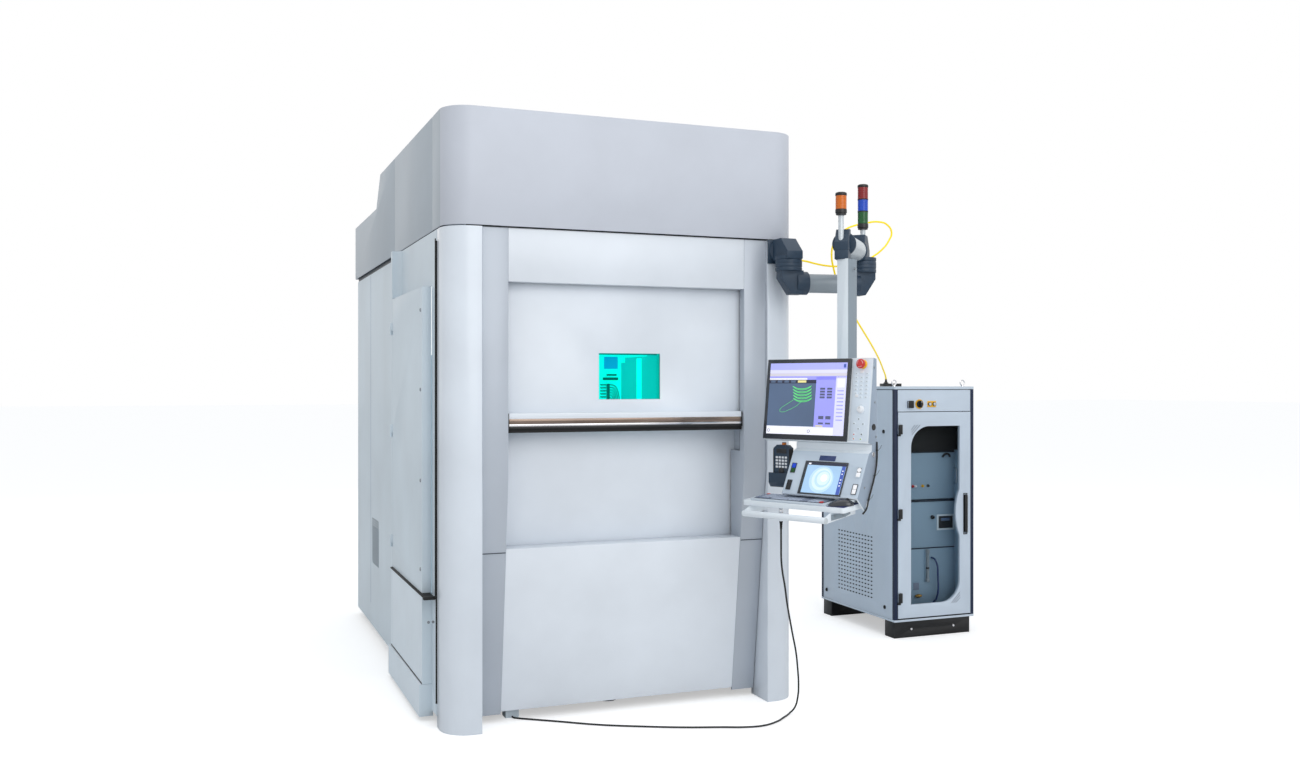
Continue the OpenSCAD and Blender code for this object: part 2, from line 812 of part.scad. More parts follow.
// The upper half of the head, with the flange that takes the drum
module head_block() {
    outline = [[-head_l + 13, block_seam], [-head_l + 13, block_top], [0, block_top],
        [head_front, block_top - 57], [head_front, block_seam]];
    color(slate) at_far_axis() difference() {
        translate([carrier_l, carrier_y, 0]) {
            rotate([90, 0, 0]) translate([0, 0, -head_w / 2]) linear_extrude(head_w)
                polygon(outline);
            translate([-head_l, 0, drum_z]) rotate([0, 90, 0]) cylinder(h = 14, r = flange_r);
        }
        translate([amber_at[0], amber_at[1], block_top - 52]) cylinder(h = 60, r = pole_r + 0.1);
    }
}

// The post and the lower half of the head it hangs from
module post() {
    groove = 10;
    color(light_grey) {
        at_far_axis() translate([carrier_l, carrier_y, 0])
            span([-head_l + 15, head_front], [-head_w / 2, head_w / 2],
                [block_foot, block_seam - joint_gap]);
        at_post() difference() {
            span([-post_w / 2, post_w / 2], [-post_d / 2, post_d / 2],
                [post_foot, block_foot + 1]);
            span([-groove, groove], [post_d / 2 - groove, post_d / 2 + 1],
                [post_foot - 1, block_foot - 10]);
        }
    }
}

beacon_r = 25;
amber_foot = ring_z + 180;

module beacon_bodies() {
    color(black) at_far_axis() {
        translate([amber_at[0], amber_at[1], block_top - 52 + seat])
            cylinder(h = amber_foot - block_top + 52, r = pole_r);
        translate([amber_at[0], amber_at[1], amber_foot]) cylinder(h = 26, r = beacon_r);
        translate([amber_at[0], amber_at[1], amber_foot + 84]) cylinder(h = 16, r = beacon_r);
        translate([0, 0, housing_top + 18]) cylinder(h = 31, r = pole_r);
        translate([0, 0, housing_top + 48]) cylinder(h = 28, r = beacon_r);
        translate([0, 0, housing_top + 244]) cylinder(h = 15, r = beacon_r);
    }
}

module beacon_lenses() {
    lens_h = 56;
    color("orange") at_far_axis() {
        translate([amber_at[0], amber_at[1], amber_foot + 26 + seat])
            cylinder(h = 58 - 2 * seat, r = beacon_r - 1);
        for (i = [0:2]) translate([0, 0, housing_top + 76 + seat + i * lens_h])
            cylinder(h = lens_h - 2 * seat, r = beacon_r - 1);
    }
}

// -------------------------------------------------------------------- console

// Drawn with the front towards -Y, then turned about the post
console_l = -250;
console_r = console_l + console_w;
back_y = -console_back;
mid_front = back_y - console_t;
top_front = mid_front + 40;
lean = atan((top_front - mid_front) / (console_top - console_mid));
desk_l = console_r - desk_w;
desk_top_z = console_mid - 43;
desk_top_y = mid_front + 6;
desk_foot_z = desk_top_z - 175;
desk_foot_y = desk_top_y - 85;
desk_lean = atan(85 / 175);

module console_across(x0, x1) {
    translate([(x0 + x1) / 2, 0, 0]) across(x1 - x0) children();
}

// Places children on the leaning screen: x along it, y up it, z out of it
module on_screen(x, up) {
    translate([0, mid_front, console_mid]) rotate([90 - lean, 0, 0])
        translate([x, up, 0]) children();
}

// Places children on the sloping desk below: x along it, y up it, z out of it
module on_desk(x, up) {
    translate([0, desk_foot_y, desk_foot_z]) rotate([90 - desk_lean, 0, 0])
        translate([x, up, 0]) children();
}

stop_x = console_r - 45;
stop_up = 319;
knob_x = console_r - 44;
knob_up = 135;
stem_r = 6;
stem_play = 0.06;
skin = 3;
twin_left = desk_l + 26;
twin_right = console_r - 23;
twin_places = [[twin_left, 115], [twin_left, 39], [twin_right, 111], [twin_right, 38]];
twin_h = 2 * button_s + 3;
twin_frame = 2.5;
pocket = 9;

// The outlines of the upper box and of the desk, and of the rooms inside them
module console_inside() {
    console_across(console_l + skin, console_r - skin)
        polygon([[back_y - skin, console_top - 8], [top_front + skin, console_top - skin],
            [mid_front + skin, console_mid + skin], [back_y - skin, console_mid + skin]]);
    console_across(desk_l + skin, console_r - skin)
        polygon([[back_y - skin, desk_top_z - 3], [desk_top_y + 6, desk_top_z - 3],
            [desk_foot_y + 9, desk_foot_z], [-255, desk_foot_z - 3],
            [back_y - skin - 1, desk_top_z - 34]]);
}

module twin_frames() {
    w = button_s + 2 * twin_frame;
    h = twin_h + 2 * twin_frame;
    for (p = twin_places) on_desk(p[0], p[1])
        translate([-w / 2, -h / 2, -skin - 1]) cube([w, h, skin + 3]);
}

module twin_pockets() {
    for (p = twin_places) on_desk(p[0], p[1])
        translate([-button_s / 2 - 0.6, -twin_h / 2 - 0.6, -pocket])
            cube([button_s + 1.2, twin_h + 1.2, pocket + 9]);
}

module console_housing() {
    upper = [[back_y, console_top - 4], [top_front, console_top], [mid_front, console_mid],
        [mid_front + 26, console_mid - 6], [back_y, console_mid - 8]];
    lower = [[back_y, console_mid - 7], [mid_front + 26, console_mid - 7],
        [mid_front + 26, desk_top_z + 9], [desk_top_y, desk_top_z],
        [desk_foot_y, desk_foot_z], [desk_foot_y + 11, desk_foot_z - 7],
        [-255, desk_foot_z - 7], [back_y, desk_top_z - 31]];
    cheek = [[back_y, desk_top_z - 31], [-287, console_foot], [desk_foot_y, desk_foot_z]];
    box_d = 140;
    box_w = 300;
    box_z = [1230, 1500];
    clamp_y = -post_d / 2 - seat;
    color(white) at_post() difference() {
        union() {
            difference() {
                union() {
                    console_across(console_l, console_r) polygon(upper);
                    console_across(desk_l, console_r) polygon(lower);
                }
                console_inside();
            }
            twin_frames();
            console_across(console_r - 8, console_r) polygon(cheek);
            difference() {
                span([-box_w / 2, box_w / 2], [back_y - 1, back_y + box_d], box_z);
                span([-box_w / 2 + skin, box_w / 2 - skin], [back_y + 1, back_y + box_d - skin],
                    [box_z[0] - 1, box_z[1] - skin]);
            }
            span([-50, 50], [back_y + box_d - 1, clamp_y], [1310, 1440]);
        }
        on_screen(stop_x, stop_up) translate([0, 0, -30])
            cylinder(h = 40, r = stem_r + stem_play);
        on_screen(knob_x, knob_up) translate([0, 0, -30])
            cylinder(h = 40, r = stem_r + stem_play);
        twin_pockets();
    }
}

module monitor() {
    h = (console_top - console_mid) / cos(lean);
    color(black) at_post() on_screen(console_l + 1, 2) translate([0, 0, seat])
        cube([screen_w, h - 4, screen_t]);
}

module lower_display() {
    color("lightblue") at_post() on_desk(desk_l + 79, 3) cube([210, 147, 4]);
}

// The tray rises slightly towards the console
tray_tilt = 5;
tray_y = -400;
tray_z = 984;
tray_x0 = -259;

module on_tray(x, back, up) {
    translate([0, tray_y, tray_z]) rotate([tray_tilt, 0, 0]) translate([x, back, up]) children();
}

module tray_plan(w, d, r) {
    translate([r, 0]) square([w - 2 * r, d]);
    translate([0, r]) square([w, d - r]);
    for (x = [r, w - r]) translate([x, r]) circle(r);
}

module tray() {
    lip = 21;
    wall = 2.5;
    rail_x = [tray_x0 + 32, tray_x0 + 32 + rail_l];
    rail_y = tray_y - 30;
    rail_z = tray_z - 51.5;
    plate = [[rail_y - rail_r, rail_z], [rail_y, rail_z + rail_r], [tray_y + 30, tray_z - 14],
        [tray_y + tray_d, tray_z - 4], [tray_y + tray_d, rail_z + 12], [rail_y, rail_z - rail_r]];
    connector_x = -122;
    connector_y = -312;
    lug = [30, 10];
    lug_back = 134;
    lug_top = (desk_foot_z - 7 - seat - tray_z - (lug_back + lug[1]) * sin(tray_tilt))
        / cos(tray_tilt);
    color(white) at_post() {
        on_tray(tray_x0, 0, -lip) difference() {
            linear_extrude(lip) tray_plan(tray_w, tray_d, 12);
            translate([wall, wall, -1]) linear_extrude(lip - wall + 1)
                tray_plan(tray_w - 2 * wall, tray_d - 2 * wall, 9);
        }
        for (x = [rail_x[0], rail_x[1] - 6]) console_across(x, x + 6) polygon(plate);
        translate([rail_x[0], rail_y, rail_z]) rotate([0, 90, 0])
            cylinder(h = rail_l - 1, r = rail_r);
        for (x = [desk_l + 20, console_r - 60])
            on_tray(x, lug_back, -3) cube([lug[0], lug[1], lug_top + 3]);
        translate([connector_x, connector_y, 898]) cylinder(h = 92, r = 9);
    }
}

module keyboard() {
    w = 376;
    pitch = 19;
    color("whitesmoke") at_post() on_tray(tray_x0 + 36, 8, seat) {
        cube([w, 124, 8]);
        for (r = [0:4], c = [0:17])
            translate([12 + c * pitch + 3, 14 + r * pitch, 7]) cube([16, 16, 4]);
    }
}

module mouse() {
    color(black) at_post() on_tray(206, 46, seat) rotate([0, 0, -62]) intersection() {
        resize([60, 106, 60]) sphere(30, $fn = 32);
        translate([-40, -60, 0]) cube([80, 120, 40]);
    }
}

// The hand-held control unit and the holder it stands in
module pendant() {
    x = desk_l - 90;
    y = -207;
    w = 86;
    color(slate) at_post() {
        translate([x, y, 1046]) hull() {
            translate([-28, -14, 0]) cube([56, 28, 2]);
            for (z = [60, 150]) translate([-w / 2, -14, z]) cube([w, 28, 2]);
            translate([-w / 2 + 16, -12, 164]) cube([w - 32, 24, 2]);
        }
        translate([x + 4, y, 1209]) cylinder(h = 14, r = 9);
        translate([x, 0, 0]) console_across(-61, 90 - seat) difference() {
            polygon([[y - 26, 1092], [y - 26, 1050], [y - 12, 1030], [y + 20, 1030],
                [y + 26, 1050], [y + 26, 1092]]);
            polygon([[y - 18, 1093], [y - 18, 1050], [y - 8, 1045], [y + 12, 1045],
                [y + 18, 1050], [y + 18, 1093]]);
        }
    }
}

module override_knob() {
    color("whitesmoke") at_post() on_screen(knob_x, knob_up) {
        translate([0, 0, -20]) cylinder(h = 22, r = stem_r);
        difference() {
            translate([0, 0, 1]) cylinder(h = 15, r = knob_r);
            translate([-1, knob_r - 6, 12]) cube([2, 8, 5]);
        }
    }
}

module emergency_stop() {
    color("red") at_post() on_screen(stop_x, stop_up) {
        translate([0, 0, -18]) cylinder(h = 42, r = stem_r);
        translate([0, 0, 17]) cylinder(h = 12, r = stop_r);
    }
}

// A square twin button, free to rock by a small angle in its pocket
module twin_button(i) {
    color(i == 0 ? "royalblue" : i == 1 ? "dimgray" : "white") at_post()
        on_desk(twin_places[i][0], twin_places[i][1])
            translate([-button_s / 2, -twin_h / 2, -4]) cube([button_s, twin_h, 8.5]);
}

module twin_button_1() { twin_button(0); }
module twin_button_2() { twin_button(1); }
module twin_button_3() { twin_button(2); }
module twin_button_4() { twin_button(3); }

// -------------------------------------------------------------- laser cabinet

cab_x = side_x + cab_gap;
cab_y = front_y + cab_setback;
cab_base_z = cab_plinth_h + 13;
cab_door_z = [cab_base_z + 8, cab_h - cab_head_h - 4];
cab_door_x = [cab_post + 2, cab_w - cab_post - 2];
cab_sheet = 2;
cab_top_t = 16;
cab_hinge_zs = [236, 722, cab_door_z[1] - 99];
cab_knuckle_h = 56;
cab_hinge_x = cab_post + 7;
cab_hinge_r = 7;
cab_hinge_y = -cab_hinge_r - 3;
cab_pin_r = 3;
handle_x = 490;
handle_z = [594, 816];
handle_pivot = [4, handle_z[0] + 8];
switch_x = 169;
switch_z = cab_h - 102;
gland_at = [46, 160, cab_h + 25];

module at_cab() {
    translate([cab_x, cab_y, 0]) children();
}

module cab_frame() {
    top = cab_h - cab_top_t;
    color(navy) at_cab() {
        for (x = [0, cab_w - cab_post], y = [0, cab_d - cab_post])
            span([x, x + cab_post], [y, y + cab_post], [cab_base_z, top]);
        for (z = cab_hinge_zs) {
            translate([cab_hinge_x, cab_hinge_y, z - cab_knuckle_h / 2 - 10])
                cylinder(h = 10, r = cab_hinge_r);
            span([cab_post - 4, cab_hinge_x], [cab_hinge_y, -3],
                [z - cab_knuckle_h / 2 - 10, z - cab_knuckle_h / 2]);
            span([cab_post - 4, cab_post + 1], [cab_hinge_y, 1],
                [z - cab_knuckle_h / 2 - 10, z - cab_knuckle_h / 2]);
            translate([cab_hinge_x, cab_hinge_y, z - cab_knuckle_h / 2 - 1])
                cylinder(h = cab_knuckle_h, r = cab_pin_r);
        }
    }
    color(light_grey) at_cab() {
        span([0, cab_w], [0, cab_d], [top, cab_h]);
        span([0, cab_w], [0, cab_d], [cab_plinth_h + seat, cab_base_z]);
        for (x = [36, cab_w - 36]) translate([x, 60, cab_h - 1]) {
            cylinder(h = 12, r = 9);
            translate([0, 0, 24]) rotate([90, 0, 0]) rotate_extrude()
                translate([15, 0]) circle(3.5);
        }
        span([22, 134], [130, 190], [cab_h - 1, cab_h + 18]);
        translate([gland_at[0], gland_at[1], cab_h]) cylinder(h = gland_at[2] - cab_h, r = 11);
    }
}

module cab_panels() {
    x0 = cab_post + seat;
    x1 = cab_w - cab_post - seat;
    z0 = cab_base_z + seat;
    z1 = cab_h - cab_top_t - 4;
    rows = 16;
    cols = 12;
    color(pale_blue) at_cab() {
        difference() {
            span([1, 1 + cab_sheet], [cab_post + seat, cab_d - cab_post - seat], [z0, z1]);
            for (i = [0:cols - 1], j = [0:rows - 1])
                span([0, 4], [237 + i * 34, 237 + i * 34 + 21],
                    [196 + j * 24, 196 + j * 24 + 8]);
        }
        span([cab_w - 1 - cab_sheet, cab_w - 1], [cab_post + seat, cab_d - cab_post - seat],
            [z0, z1]);
        span([x0, x1], [cab_d - 1 - cab_sheet, cab_d - 1], [z0, z1]);
        difference() {
            span([x0, x1], [1, 26], [cab_h - cab_head_h, z1]);
            translate([switch_x, -1, switch_z]) rotate([-90, 0, 0])
                cylinder(h = 40, r = 6 + hinge_play);
        }
        span([85, 126], [-12, 1.5], [switch_z - 24, switch_z + 21]);
        span([222, 283], [-4, 1.5], [switch_z - 18, switch_z + 18]);
        for (x = [237, 268]) translate([x, -3, switch_z]) rotate([90, 0, 0])
            cylinder(h = 9, r = 10);
    }
}

// The window's outline: large radii at its upper left and lower right corners
module cab_window_2d() {
    x = [111, 451];
    z = cab_door_z + [76, -82];
    r = cab_window_r;
    difference() {
        union() {
            translate([x[0] + r, z[0]]) square([x[1] - x[0] - 2 * r, z[1] - z[0]]);
            translate([x[0], z[0]]) square([r + 1, z[1] - z[0] - r]);
            translate([x[1] - r - 1, z[0] + r]) square([r + 1, z[1] - z[0] - r]);
            translate([x[0] + r, z[1] - r]) circle(r);
            translate([x[1] - r, z[0] + r]) circle(r);
        }
        translate([x[1] + 320, (z[0] + z[1]) / 2 + 6]) circle(348, $fn = 128);
    }
}

module cab_door() {
    t = 20;
    recess = 12;
    color(pale_blue) at_cab() difference() {
        union() {
            span(cab_door_x, [-t + 18, 18], cab_door_z);
            for (z = cab_hinge_zs) {
                translate([cab_hinge_x, cab_hinge_y, z - cab_knuckle_h / 2 + 0.5])
                    cylinder(h = cab_knuckle_h - 3, r = cab_hinge_r);
                span([cab_hinge_x, cab_hinge_x + 15], [cab_hinge_y - 3, -1],
                    [z - cab_knuckle_h / 2 + 0.5, z + cab_knuckle_h / 2 - 2.5]);
            }
        }
        translate([0, 40, 0]) rotate([90, 0, 0]) linear_extrude(80) cab_window_2d();
        for (z = cab_hinge_zs) translate([cab_hinge_x, cab_hinge_y, z - cab_knuckle_h / 2 - 2])
            cylinder(h = cab_knuckle_h + 4, r = cab_pin_r + hinge_play);
        span([handle_x - 14, handle_x + 14], [-3, -2 + recess], handle_z + [-6, 6]);
        translate([handle_x - 20, handle_pivot[0], handle_pivot[1]]) rotate([0, 90, 0])
            cylinder(h = 40, r = cab_pin_r + hinge_play);
    }
}

module cab_window() {
    t = 4;
    color([0.3, 0.4, 0.5, 0.5]) at_cab() translate([0, 8 + t, 0]) rotate([90, 0, 0])
        linear_extrude(t) cab_window_2d();
}

// The swing handle turns about the pin at its lower end
module cab_handle() {
    color(black) at_cab() {
        span([handle_x - 9, handle_x + 9], [-14, 7], [handle_pivot[1] - 4, handle_z[1]]);
        translate([handle_x - 13, handle_pivot[0], handle_pivot[1]]) rotate([0, 90, 0])
            cylinder(h = 26, r = 5);
        translate([handle_x - 19, handle_pivot[0], handle_pivot[1]]) rotate([0, 90, 0])
            cylinder(h = 38, r = cab_pin_r);
    }
}

module cab_modules() {
    x = [cab_post + 6, cab_w - cab_post - 6];
    y = [110, cab_d - 60];
    bays = [[cab_base_z + 40, 494], [500, 775], [788, 1064]];
    color(steel) at_cab() {
        for (b = bays) span(x, y, [b[0] + seat, b[1]]);
        for (sx = [x[0], x[1] - 30])
            span([sx, sx + 30], [cab_post + 20, y[0] - seat], [cab_base_z + seat, 1080]);
        span([x[0], x[1]], [y[0], y[1]], [cab_base_z + seat, bays[0][0] - seat]);
        translate([278, y[0] - 9, 298]) cube([28, 10, 192]);
    }
}

module cab_plinth() {
    t = 100;
    color(black) at_cab() for (y = [13, cab_d - t - 13])
        difference() {
            span([8, cab_w - 20], [y, y + t], [0, cab_plinth_h]);
            for (x = [124, 416])
                translate([x, y - 1, cab_plinth_h / 2]) rotate([-90, 0, 0])
                    cylinder(h = 40, r = 6);
        }
}

module main_switch() {
    color("gold") at_cab() {
        translate([switch_x, 20, switch_z]) rotate([90, 0, 0]) cylinder(h = 22, r = 6);
        translate([switch_x, 0.5, switch_z]) rotate([90, 0, 0]) cylinder(h = 8, r = 27);
        span([switch_x - 22, switch_x + 22], [-26, -7], [switch_z - 7, switch_z + 7]);
    }
}

// ---------------------------------------------------------------------- cords

fibre_d = 9;
lead_d = 8;
lead_start = post_axis + [-122 * cos(console_turn) + 312 * sin(console_turn),
    -122 * sin(console_turn) - 312 * cos(console_turn)];
fibre_route = [[side_x + 16.3, -1280, 2064], [890, -1280, 2070], [950, -1276, 2068],
    [1010, -1272, 2058], [1070, -1270, 2051], [1130, -1270, 2050], [1200, -1272, 2057],
    [1262, -1280, 2074], [1318, -1290, 2102], [1368, -1300, 2140], [1405, -1300, 2183],
    [1422, -1300, 2228], [1395, -1300, 2264], [1342, -1300, 2275], [1282, -1303, 2267],
    [1216, -1310, 2252], [1152, -1320, 2228], [1100, -1328, 2190], [1071, -1330, 2142],
    [1064, -1330, 2090], [1078, -1326, 2030], [1112, -1308, 1960], [1185, -1250, 1888],
    [1282, -1168, 1824], [1400, -1058, 1760], [1556, -900, 1687], [1733, -700, 1613],
    [1919, -457, 1554], [1976, -386, 1530], [1995, -361, 1521], [2004, -350, 1513],
    [cab_x + gland_at[0], cab_y + gland_at[1], gland_at[2] + 16],
    [cab_x + gland_at[0], cab_y + gland_at[1], gland_at[2] + seat]];
lead_route = [[lead_start[0], lead_start[1], 898 - seat], [lead_start[0], lead_start[1], 860],
    [497, -1882, 800], [502, -1874, 735], [516, -1858, 680], [540, -1834, 615],
    [567, -1804, 534], [600, -1768, 455], [634, -1732, 375], [668, -1697, 296],
    [698, -1660, 204], [713, -1640, 130], [716, -1628, 75], [704, -1624, 28],
    [671, -1636, 6], [620, -1678, 5], [560, -1725, 5], [474, -1758, 5], [400, -1750, 5],
    [300, -1712, 5], [150, -1656, 5], [-13, -1578, 5], [-173, -1489, 5], [-323, -1377, 5],
    [-430, -1298, 5], [-477, -1262, 5], [-493, -1244, 5], [-493, -1230 - seat, 5]];

function unit(v) = v / norm(v);

function tangents(p) = [for (i = [0:len(p) - 1])
    unit(p[min(i + 1, len(p) - 1)] - p[max(i - 1, 0)])];

// A tube of round section along a route; side is never parallel to it
module cord(route, d, side, sides) {
    n = len(route);
    dirs = tangents(route);
    rings = [for (i = [0:n - 1]) let (u = unit(cross(dirs[i], side)), v = cross(dirs[i], u))
        for (k = [0:sides - 1])
            route[i] + d / 2 * (cos(k * 360 / sides) * u + sin(k * 360 / sides) * v)];
    walls = [for (i = [0:n - 2], k = [0:sides - 1]) let (m = (k + 1) % sides)
        [i * sides + k, (i + 1) * sides + k, (i + 1) * sides + m, i * sides + m]];
    ends = [[for (k = [0:sides - 1]) k], [for (k = [sides - 1:-1:0]) (n - 1) * sides + k]];
    polyhedron(points = rings, faces = concat(walls, ends));
}

module fibre() {
    color("gold") cord(fibre_route, fibre_d, [0, 1, 0], 10);
}

module lead() {
    color(black) cord(lead_route, lead_d, [0.3, 0.95, 0], 8);
}

base_frame();
frame_posts();
machine_bed();
work_table();
front_columns();
pilasters();
header_panel();
lower_front_panel();
hood_front();
hood_middle();
hood_rear();
left_side_panel();
right_side_panel();
rear_side_panels();
rear_wall();
partition_wall();
lamp_bar();
door_guides();
switch_cabinet();
wall_housing();
upper_wing();
safety_window();
grip_rail();
edge_seal();
lower_wing();
side_door();
axis_rails();
y_bridge();
x_carriage();
z_ram();
arm_tube();
arm_elbows();
far_housing();
head_block();
post();
beacon_bodies();
beacon_lenses();
console_housing();
monitor();
lower_display();
tray();
keyboard();
mouse();
pendant();
override_knob();
emergency_stop();
twin_button_1();
twin_button_2();
twin_button_3();
twin_button_4();
cab_frame();
cab_panels();
cab_door();
cab_window();
cab_handle();
cab_modules();
cab_plinth();
main_switch();
fibre();
lead();
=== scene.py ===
"""Looks of the laser welding cell: finishes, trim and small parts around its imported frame."""

import logging
import math
from contextlib import contextmanager
from dataclasses import dataclass
from enum import Enum
from typing import Callable, Iterator, Optional, Sequence

import bpy
from mathutils import Matrix, Vector
from mathutils.geometry import interpolate_bezier

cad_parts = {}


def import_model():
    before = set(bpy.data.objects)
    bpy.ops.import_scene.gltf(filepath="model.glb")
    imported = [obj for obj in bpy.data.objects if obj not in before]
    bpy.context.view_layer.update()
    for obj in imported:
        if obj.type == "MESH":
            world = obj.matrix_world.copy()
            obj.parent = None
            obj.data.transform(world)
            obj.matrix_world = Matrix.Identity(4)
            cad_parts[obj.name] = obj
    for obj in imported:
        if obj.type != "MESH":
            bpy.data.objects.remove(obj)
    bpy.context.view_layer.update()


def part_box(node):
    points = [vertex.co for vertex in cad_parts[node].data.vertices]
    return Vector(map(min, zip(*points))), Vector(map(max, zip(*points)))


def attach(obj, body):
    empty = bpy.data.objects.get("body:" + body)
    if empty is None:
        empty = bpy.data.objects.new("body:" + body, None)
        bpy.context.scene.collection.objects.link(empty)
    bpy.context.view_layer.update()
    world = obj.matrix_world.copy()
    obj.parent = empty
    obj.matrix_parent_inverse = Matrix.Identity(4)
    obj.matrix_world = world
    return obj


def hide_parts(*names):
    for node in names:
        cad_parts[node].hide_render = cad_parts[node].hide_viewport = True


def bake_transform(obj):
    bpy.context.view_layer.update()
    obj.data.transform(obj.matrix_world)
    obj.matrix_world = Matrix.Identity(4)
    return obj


LOG = logging.getLogger("laser_cell")
LOOK = "look_"
Point = tuple[float, float, float]
Color = tuple[float, float, float]
Span = tuple[Sequence[float], Sequence[float]]
Socket = bpy.types.NodeSocket


class Grain(Enum):
    """Kinds of surface texture that a finish can carry."""

    PAINT = "paint"
    METALLIC = "metallic"
    BRUSHED = "brushed"
    CAST = "cast"
    MOULDED = "moulded"
    SMOOTH = "smooth"


GRAIN_SCALE = {Grain.PAINT: 420.0, Grain.METALLIC: 900.0, Grain.BRUSHED: 260.0,
               Grain.CAST: 180.0, Grain.MOULDED: 800.0, Grain.SMOOTH: 60.0}
GRAIN_DEPTH = {Grain.PAINT: 0.05, Grain.METALLIC: 0.03, Grain.BRUSHED: 0.10,
               Grain.CAST: 0.28, Grain.MOULDED: 0.12, Grain.SMOOTH: 0.01}
GRAIN_HEIGHT = 0.001
COAT_ROUGH = 0.12
GLOSS_DRIFT = 0.05
CLOUD_SCALE = 2.3


def linear(color: Color, gain: float = 1.0) -> tuple[float, float, float, float]:
    """Turns a display colour into the scene's linear light.

    Args:
        color: red, green and blue from 0 to 1, as seen on a screen.
        gain: factor on the display value, for lighter and darker shades.

    Returns:
        Linear red, green, blue and an alpha of 1.
    """
    out = []
    for channel in color:
        c = min(1.0, channel * gain)
        out.append(c / 12.92 if c <= 0.04045 else ((c + 0.055) / 1.055) ** 2.4)
    return (out[0], out[1], out[2], 1.0)


def wire(tree: bpy.types.NodeTree, node: bpy.types.Node, inputs: dict) -> None:
    """Sets a shader node's inputs, or links them where another node's output is given."""
    for key, value in inputs.items():
        if isinstance(value, Socket):
            tree.links.new(value, node.inputs[key])
        else:
            node.inputs[key].default_value = value


def shade(tree: bpy.types.NodeTree, kind: str, inputs: dict,
          mode: str = "") -> bpy.types.Node:
    """Adds a shader node.

    Args:
        tree: the nodes that it joins.
        kind: the node's type, without the prefix that all types share.
        inputs: a value or another node's output for inputs, by name or number.
        mode: the operation, for a math node.

    Returns:
        The new node.
    """
    node = tree.nodes.new("ShaderNode" + kind)
    if mode:
        node.operation = mode
    wire(tree, node, inputs)
    return node


@contextmanager
def editing() -> Iterator[None]:
    """Opens the active piece in edit mode with all of it selected, and closes it again."""
    bpy.ops.object.mode_set(mode="EDIT")
    bpy.ops.mesh.select_all(action="SELECT")
    yield
    bpy.ops.object.mode_set(mode="OBJECT")


@dataclass(frozen=True)
class Finish:
    """A surface finish: its colour, gloss and grain."""

    name: str
    color: Color
    rough: float = 0.42
    metallic: float = 0.0
    coat: float = 0.0
    grain: Grain = Grain.PAINT
    vary: float = 0.03
    glow: float = 0.0

    def material(self) -> bpy.types.Material:
        """Gives the finish's material, made at its first use."""
        label = LOOK + self.name
        found = bpy.data.materials.get(label)
        if found:
            return found
        mat = bpy.data.materials.new(label)
        mat.use_nodes = True
        tree = mat.node_tree
        shader = tree.nodes["Principled BSDF"]
        wire(tree, shader, {"Metallic": self.metallic, "Coat Weight": self.coat,
                            "Coat Roughness": COAT_ROUGH})
        place = shade(tree, "TexCoord", {}).outputs["Object"]
        self._tint(tree, shader, place)
        self._texture(tree, shader, place)
        return mat

    def _tint(self, tree: bpy.types.NodeTree, shader: bpy.types.Node, place: Socket) -> None:
        """Lets the colour and the gloss drift a little over the surface.

        Args:
            tree: the material's nodes.
            shader: the surface shader.
            place: the object coordinates.
        """
        cloud = shade(tree, "TexNoise", {"Scale": CLOUD_SCALE, "Detail": 4.0, "Vector": place})
        drift = cloud.outputs["Fac"]
        ramp = shade(tree, "ValToRGB", {"Fac": drift})
        for stop, at, gain in zip(ramp.color_ramp.elements, (0.3, 0.7),
                                  (1.0 - self.vary, 1.0 + self.vary * 0.6)):
            stop.position = at
            stop.color = linear(self.color, gain)
        wire(tree, shader, {"Base Color": ramp.outputs["Color"]})
        if self.glow:
            wire(tree, shader, {"Emission Color": ramp.outputs["Color"],
                                "Emission Strength": self.glow})
        gloss = shade(tree, "MapRange", {
            "To Min": max(0.02, self.rough - GLOSS_DRIFT),
            "To Max": min(1.0, self.rough + GLOSS_DRIFT), "Value": drift})
        wire(tree, shader, {"Roughness": gloss.outputs["Result"]})

    def _texture(self, tree: bpy.types.NodeTree, shader: bpy.types.Node,
                 place: Socket) -> None:
        """Adds the fine grain as bump.

        Args:
            tree: the material's nodes.
            shader: the surface shader.
            place: the object coordinates.
        """
        if self.grain is Grain.BRUSHED:
            stretch = shade(tree, "Mapping", {"Scale": (1.0, 1.0, 0.03), "Vector": place})
            place = stretch.outputs["Vector"]
        grain = shade(tree, "TexNoise", {"Scale": GRAIN_SCALE[self.grain], "Detail": 3.0,
                                         "Vector": place})
        bump = shade(tree, "Bump", {"Strength": GRAIN_DEPTH[self.grain],
                                    "Distance": GRAIN_HEIGHT, "Height": grain.outputs["Fac"]})
        wire(tree, shader, {"Normal": bump.outputs["Normal"]})


@dataclass(frozen=True)
class Pane:
    """A tinted pane that light goes through."""

    name: str
    color: Color
    through: Color = (1.0, 1.0, 1.0)
    clear: float = 0.5
    rough: float = 0.05
    glow: float = 0.0

    def material(self) -> bpy.types.Material:
        """Gives the pane's material, made at its first use."""
        found = bpy.data.materials.get(LOOK + self.name)
        if found:
            return found
        mat = Finish(self.name, self.color, self.rough, grain=Grain.SMOOTH,
                     vary=0.06, glow=self.glow).material()
        tree = mat.node_tree
        film = shade(tree, "BsdfTransparent", {"Color": linear(self.through)})
        body = tree.nodes["Principled BSDF"]
        mix = shade(tree, "MixShader", {"Fac": self.clear, 1: body.outputs["BSDF"],
                                        2: film.outputs["BSDF"]})
        wire(tree, tree.nodes["Material Output"], {"Surface": mix.outputs["Shader"]})
        mat.surface_render_method = "BLENDED"
        return mat


def lit(name: str, color: Color, glow: float = 0.35, vary: float = 0.03) -> Finish:
    """Gives the finish of a lit field on a screen."""
    return Finish(name, color, 0.25, glow=glow, vary=vary, grain=Grain.SMOOTH)


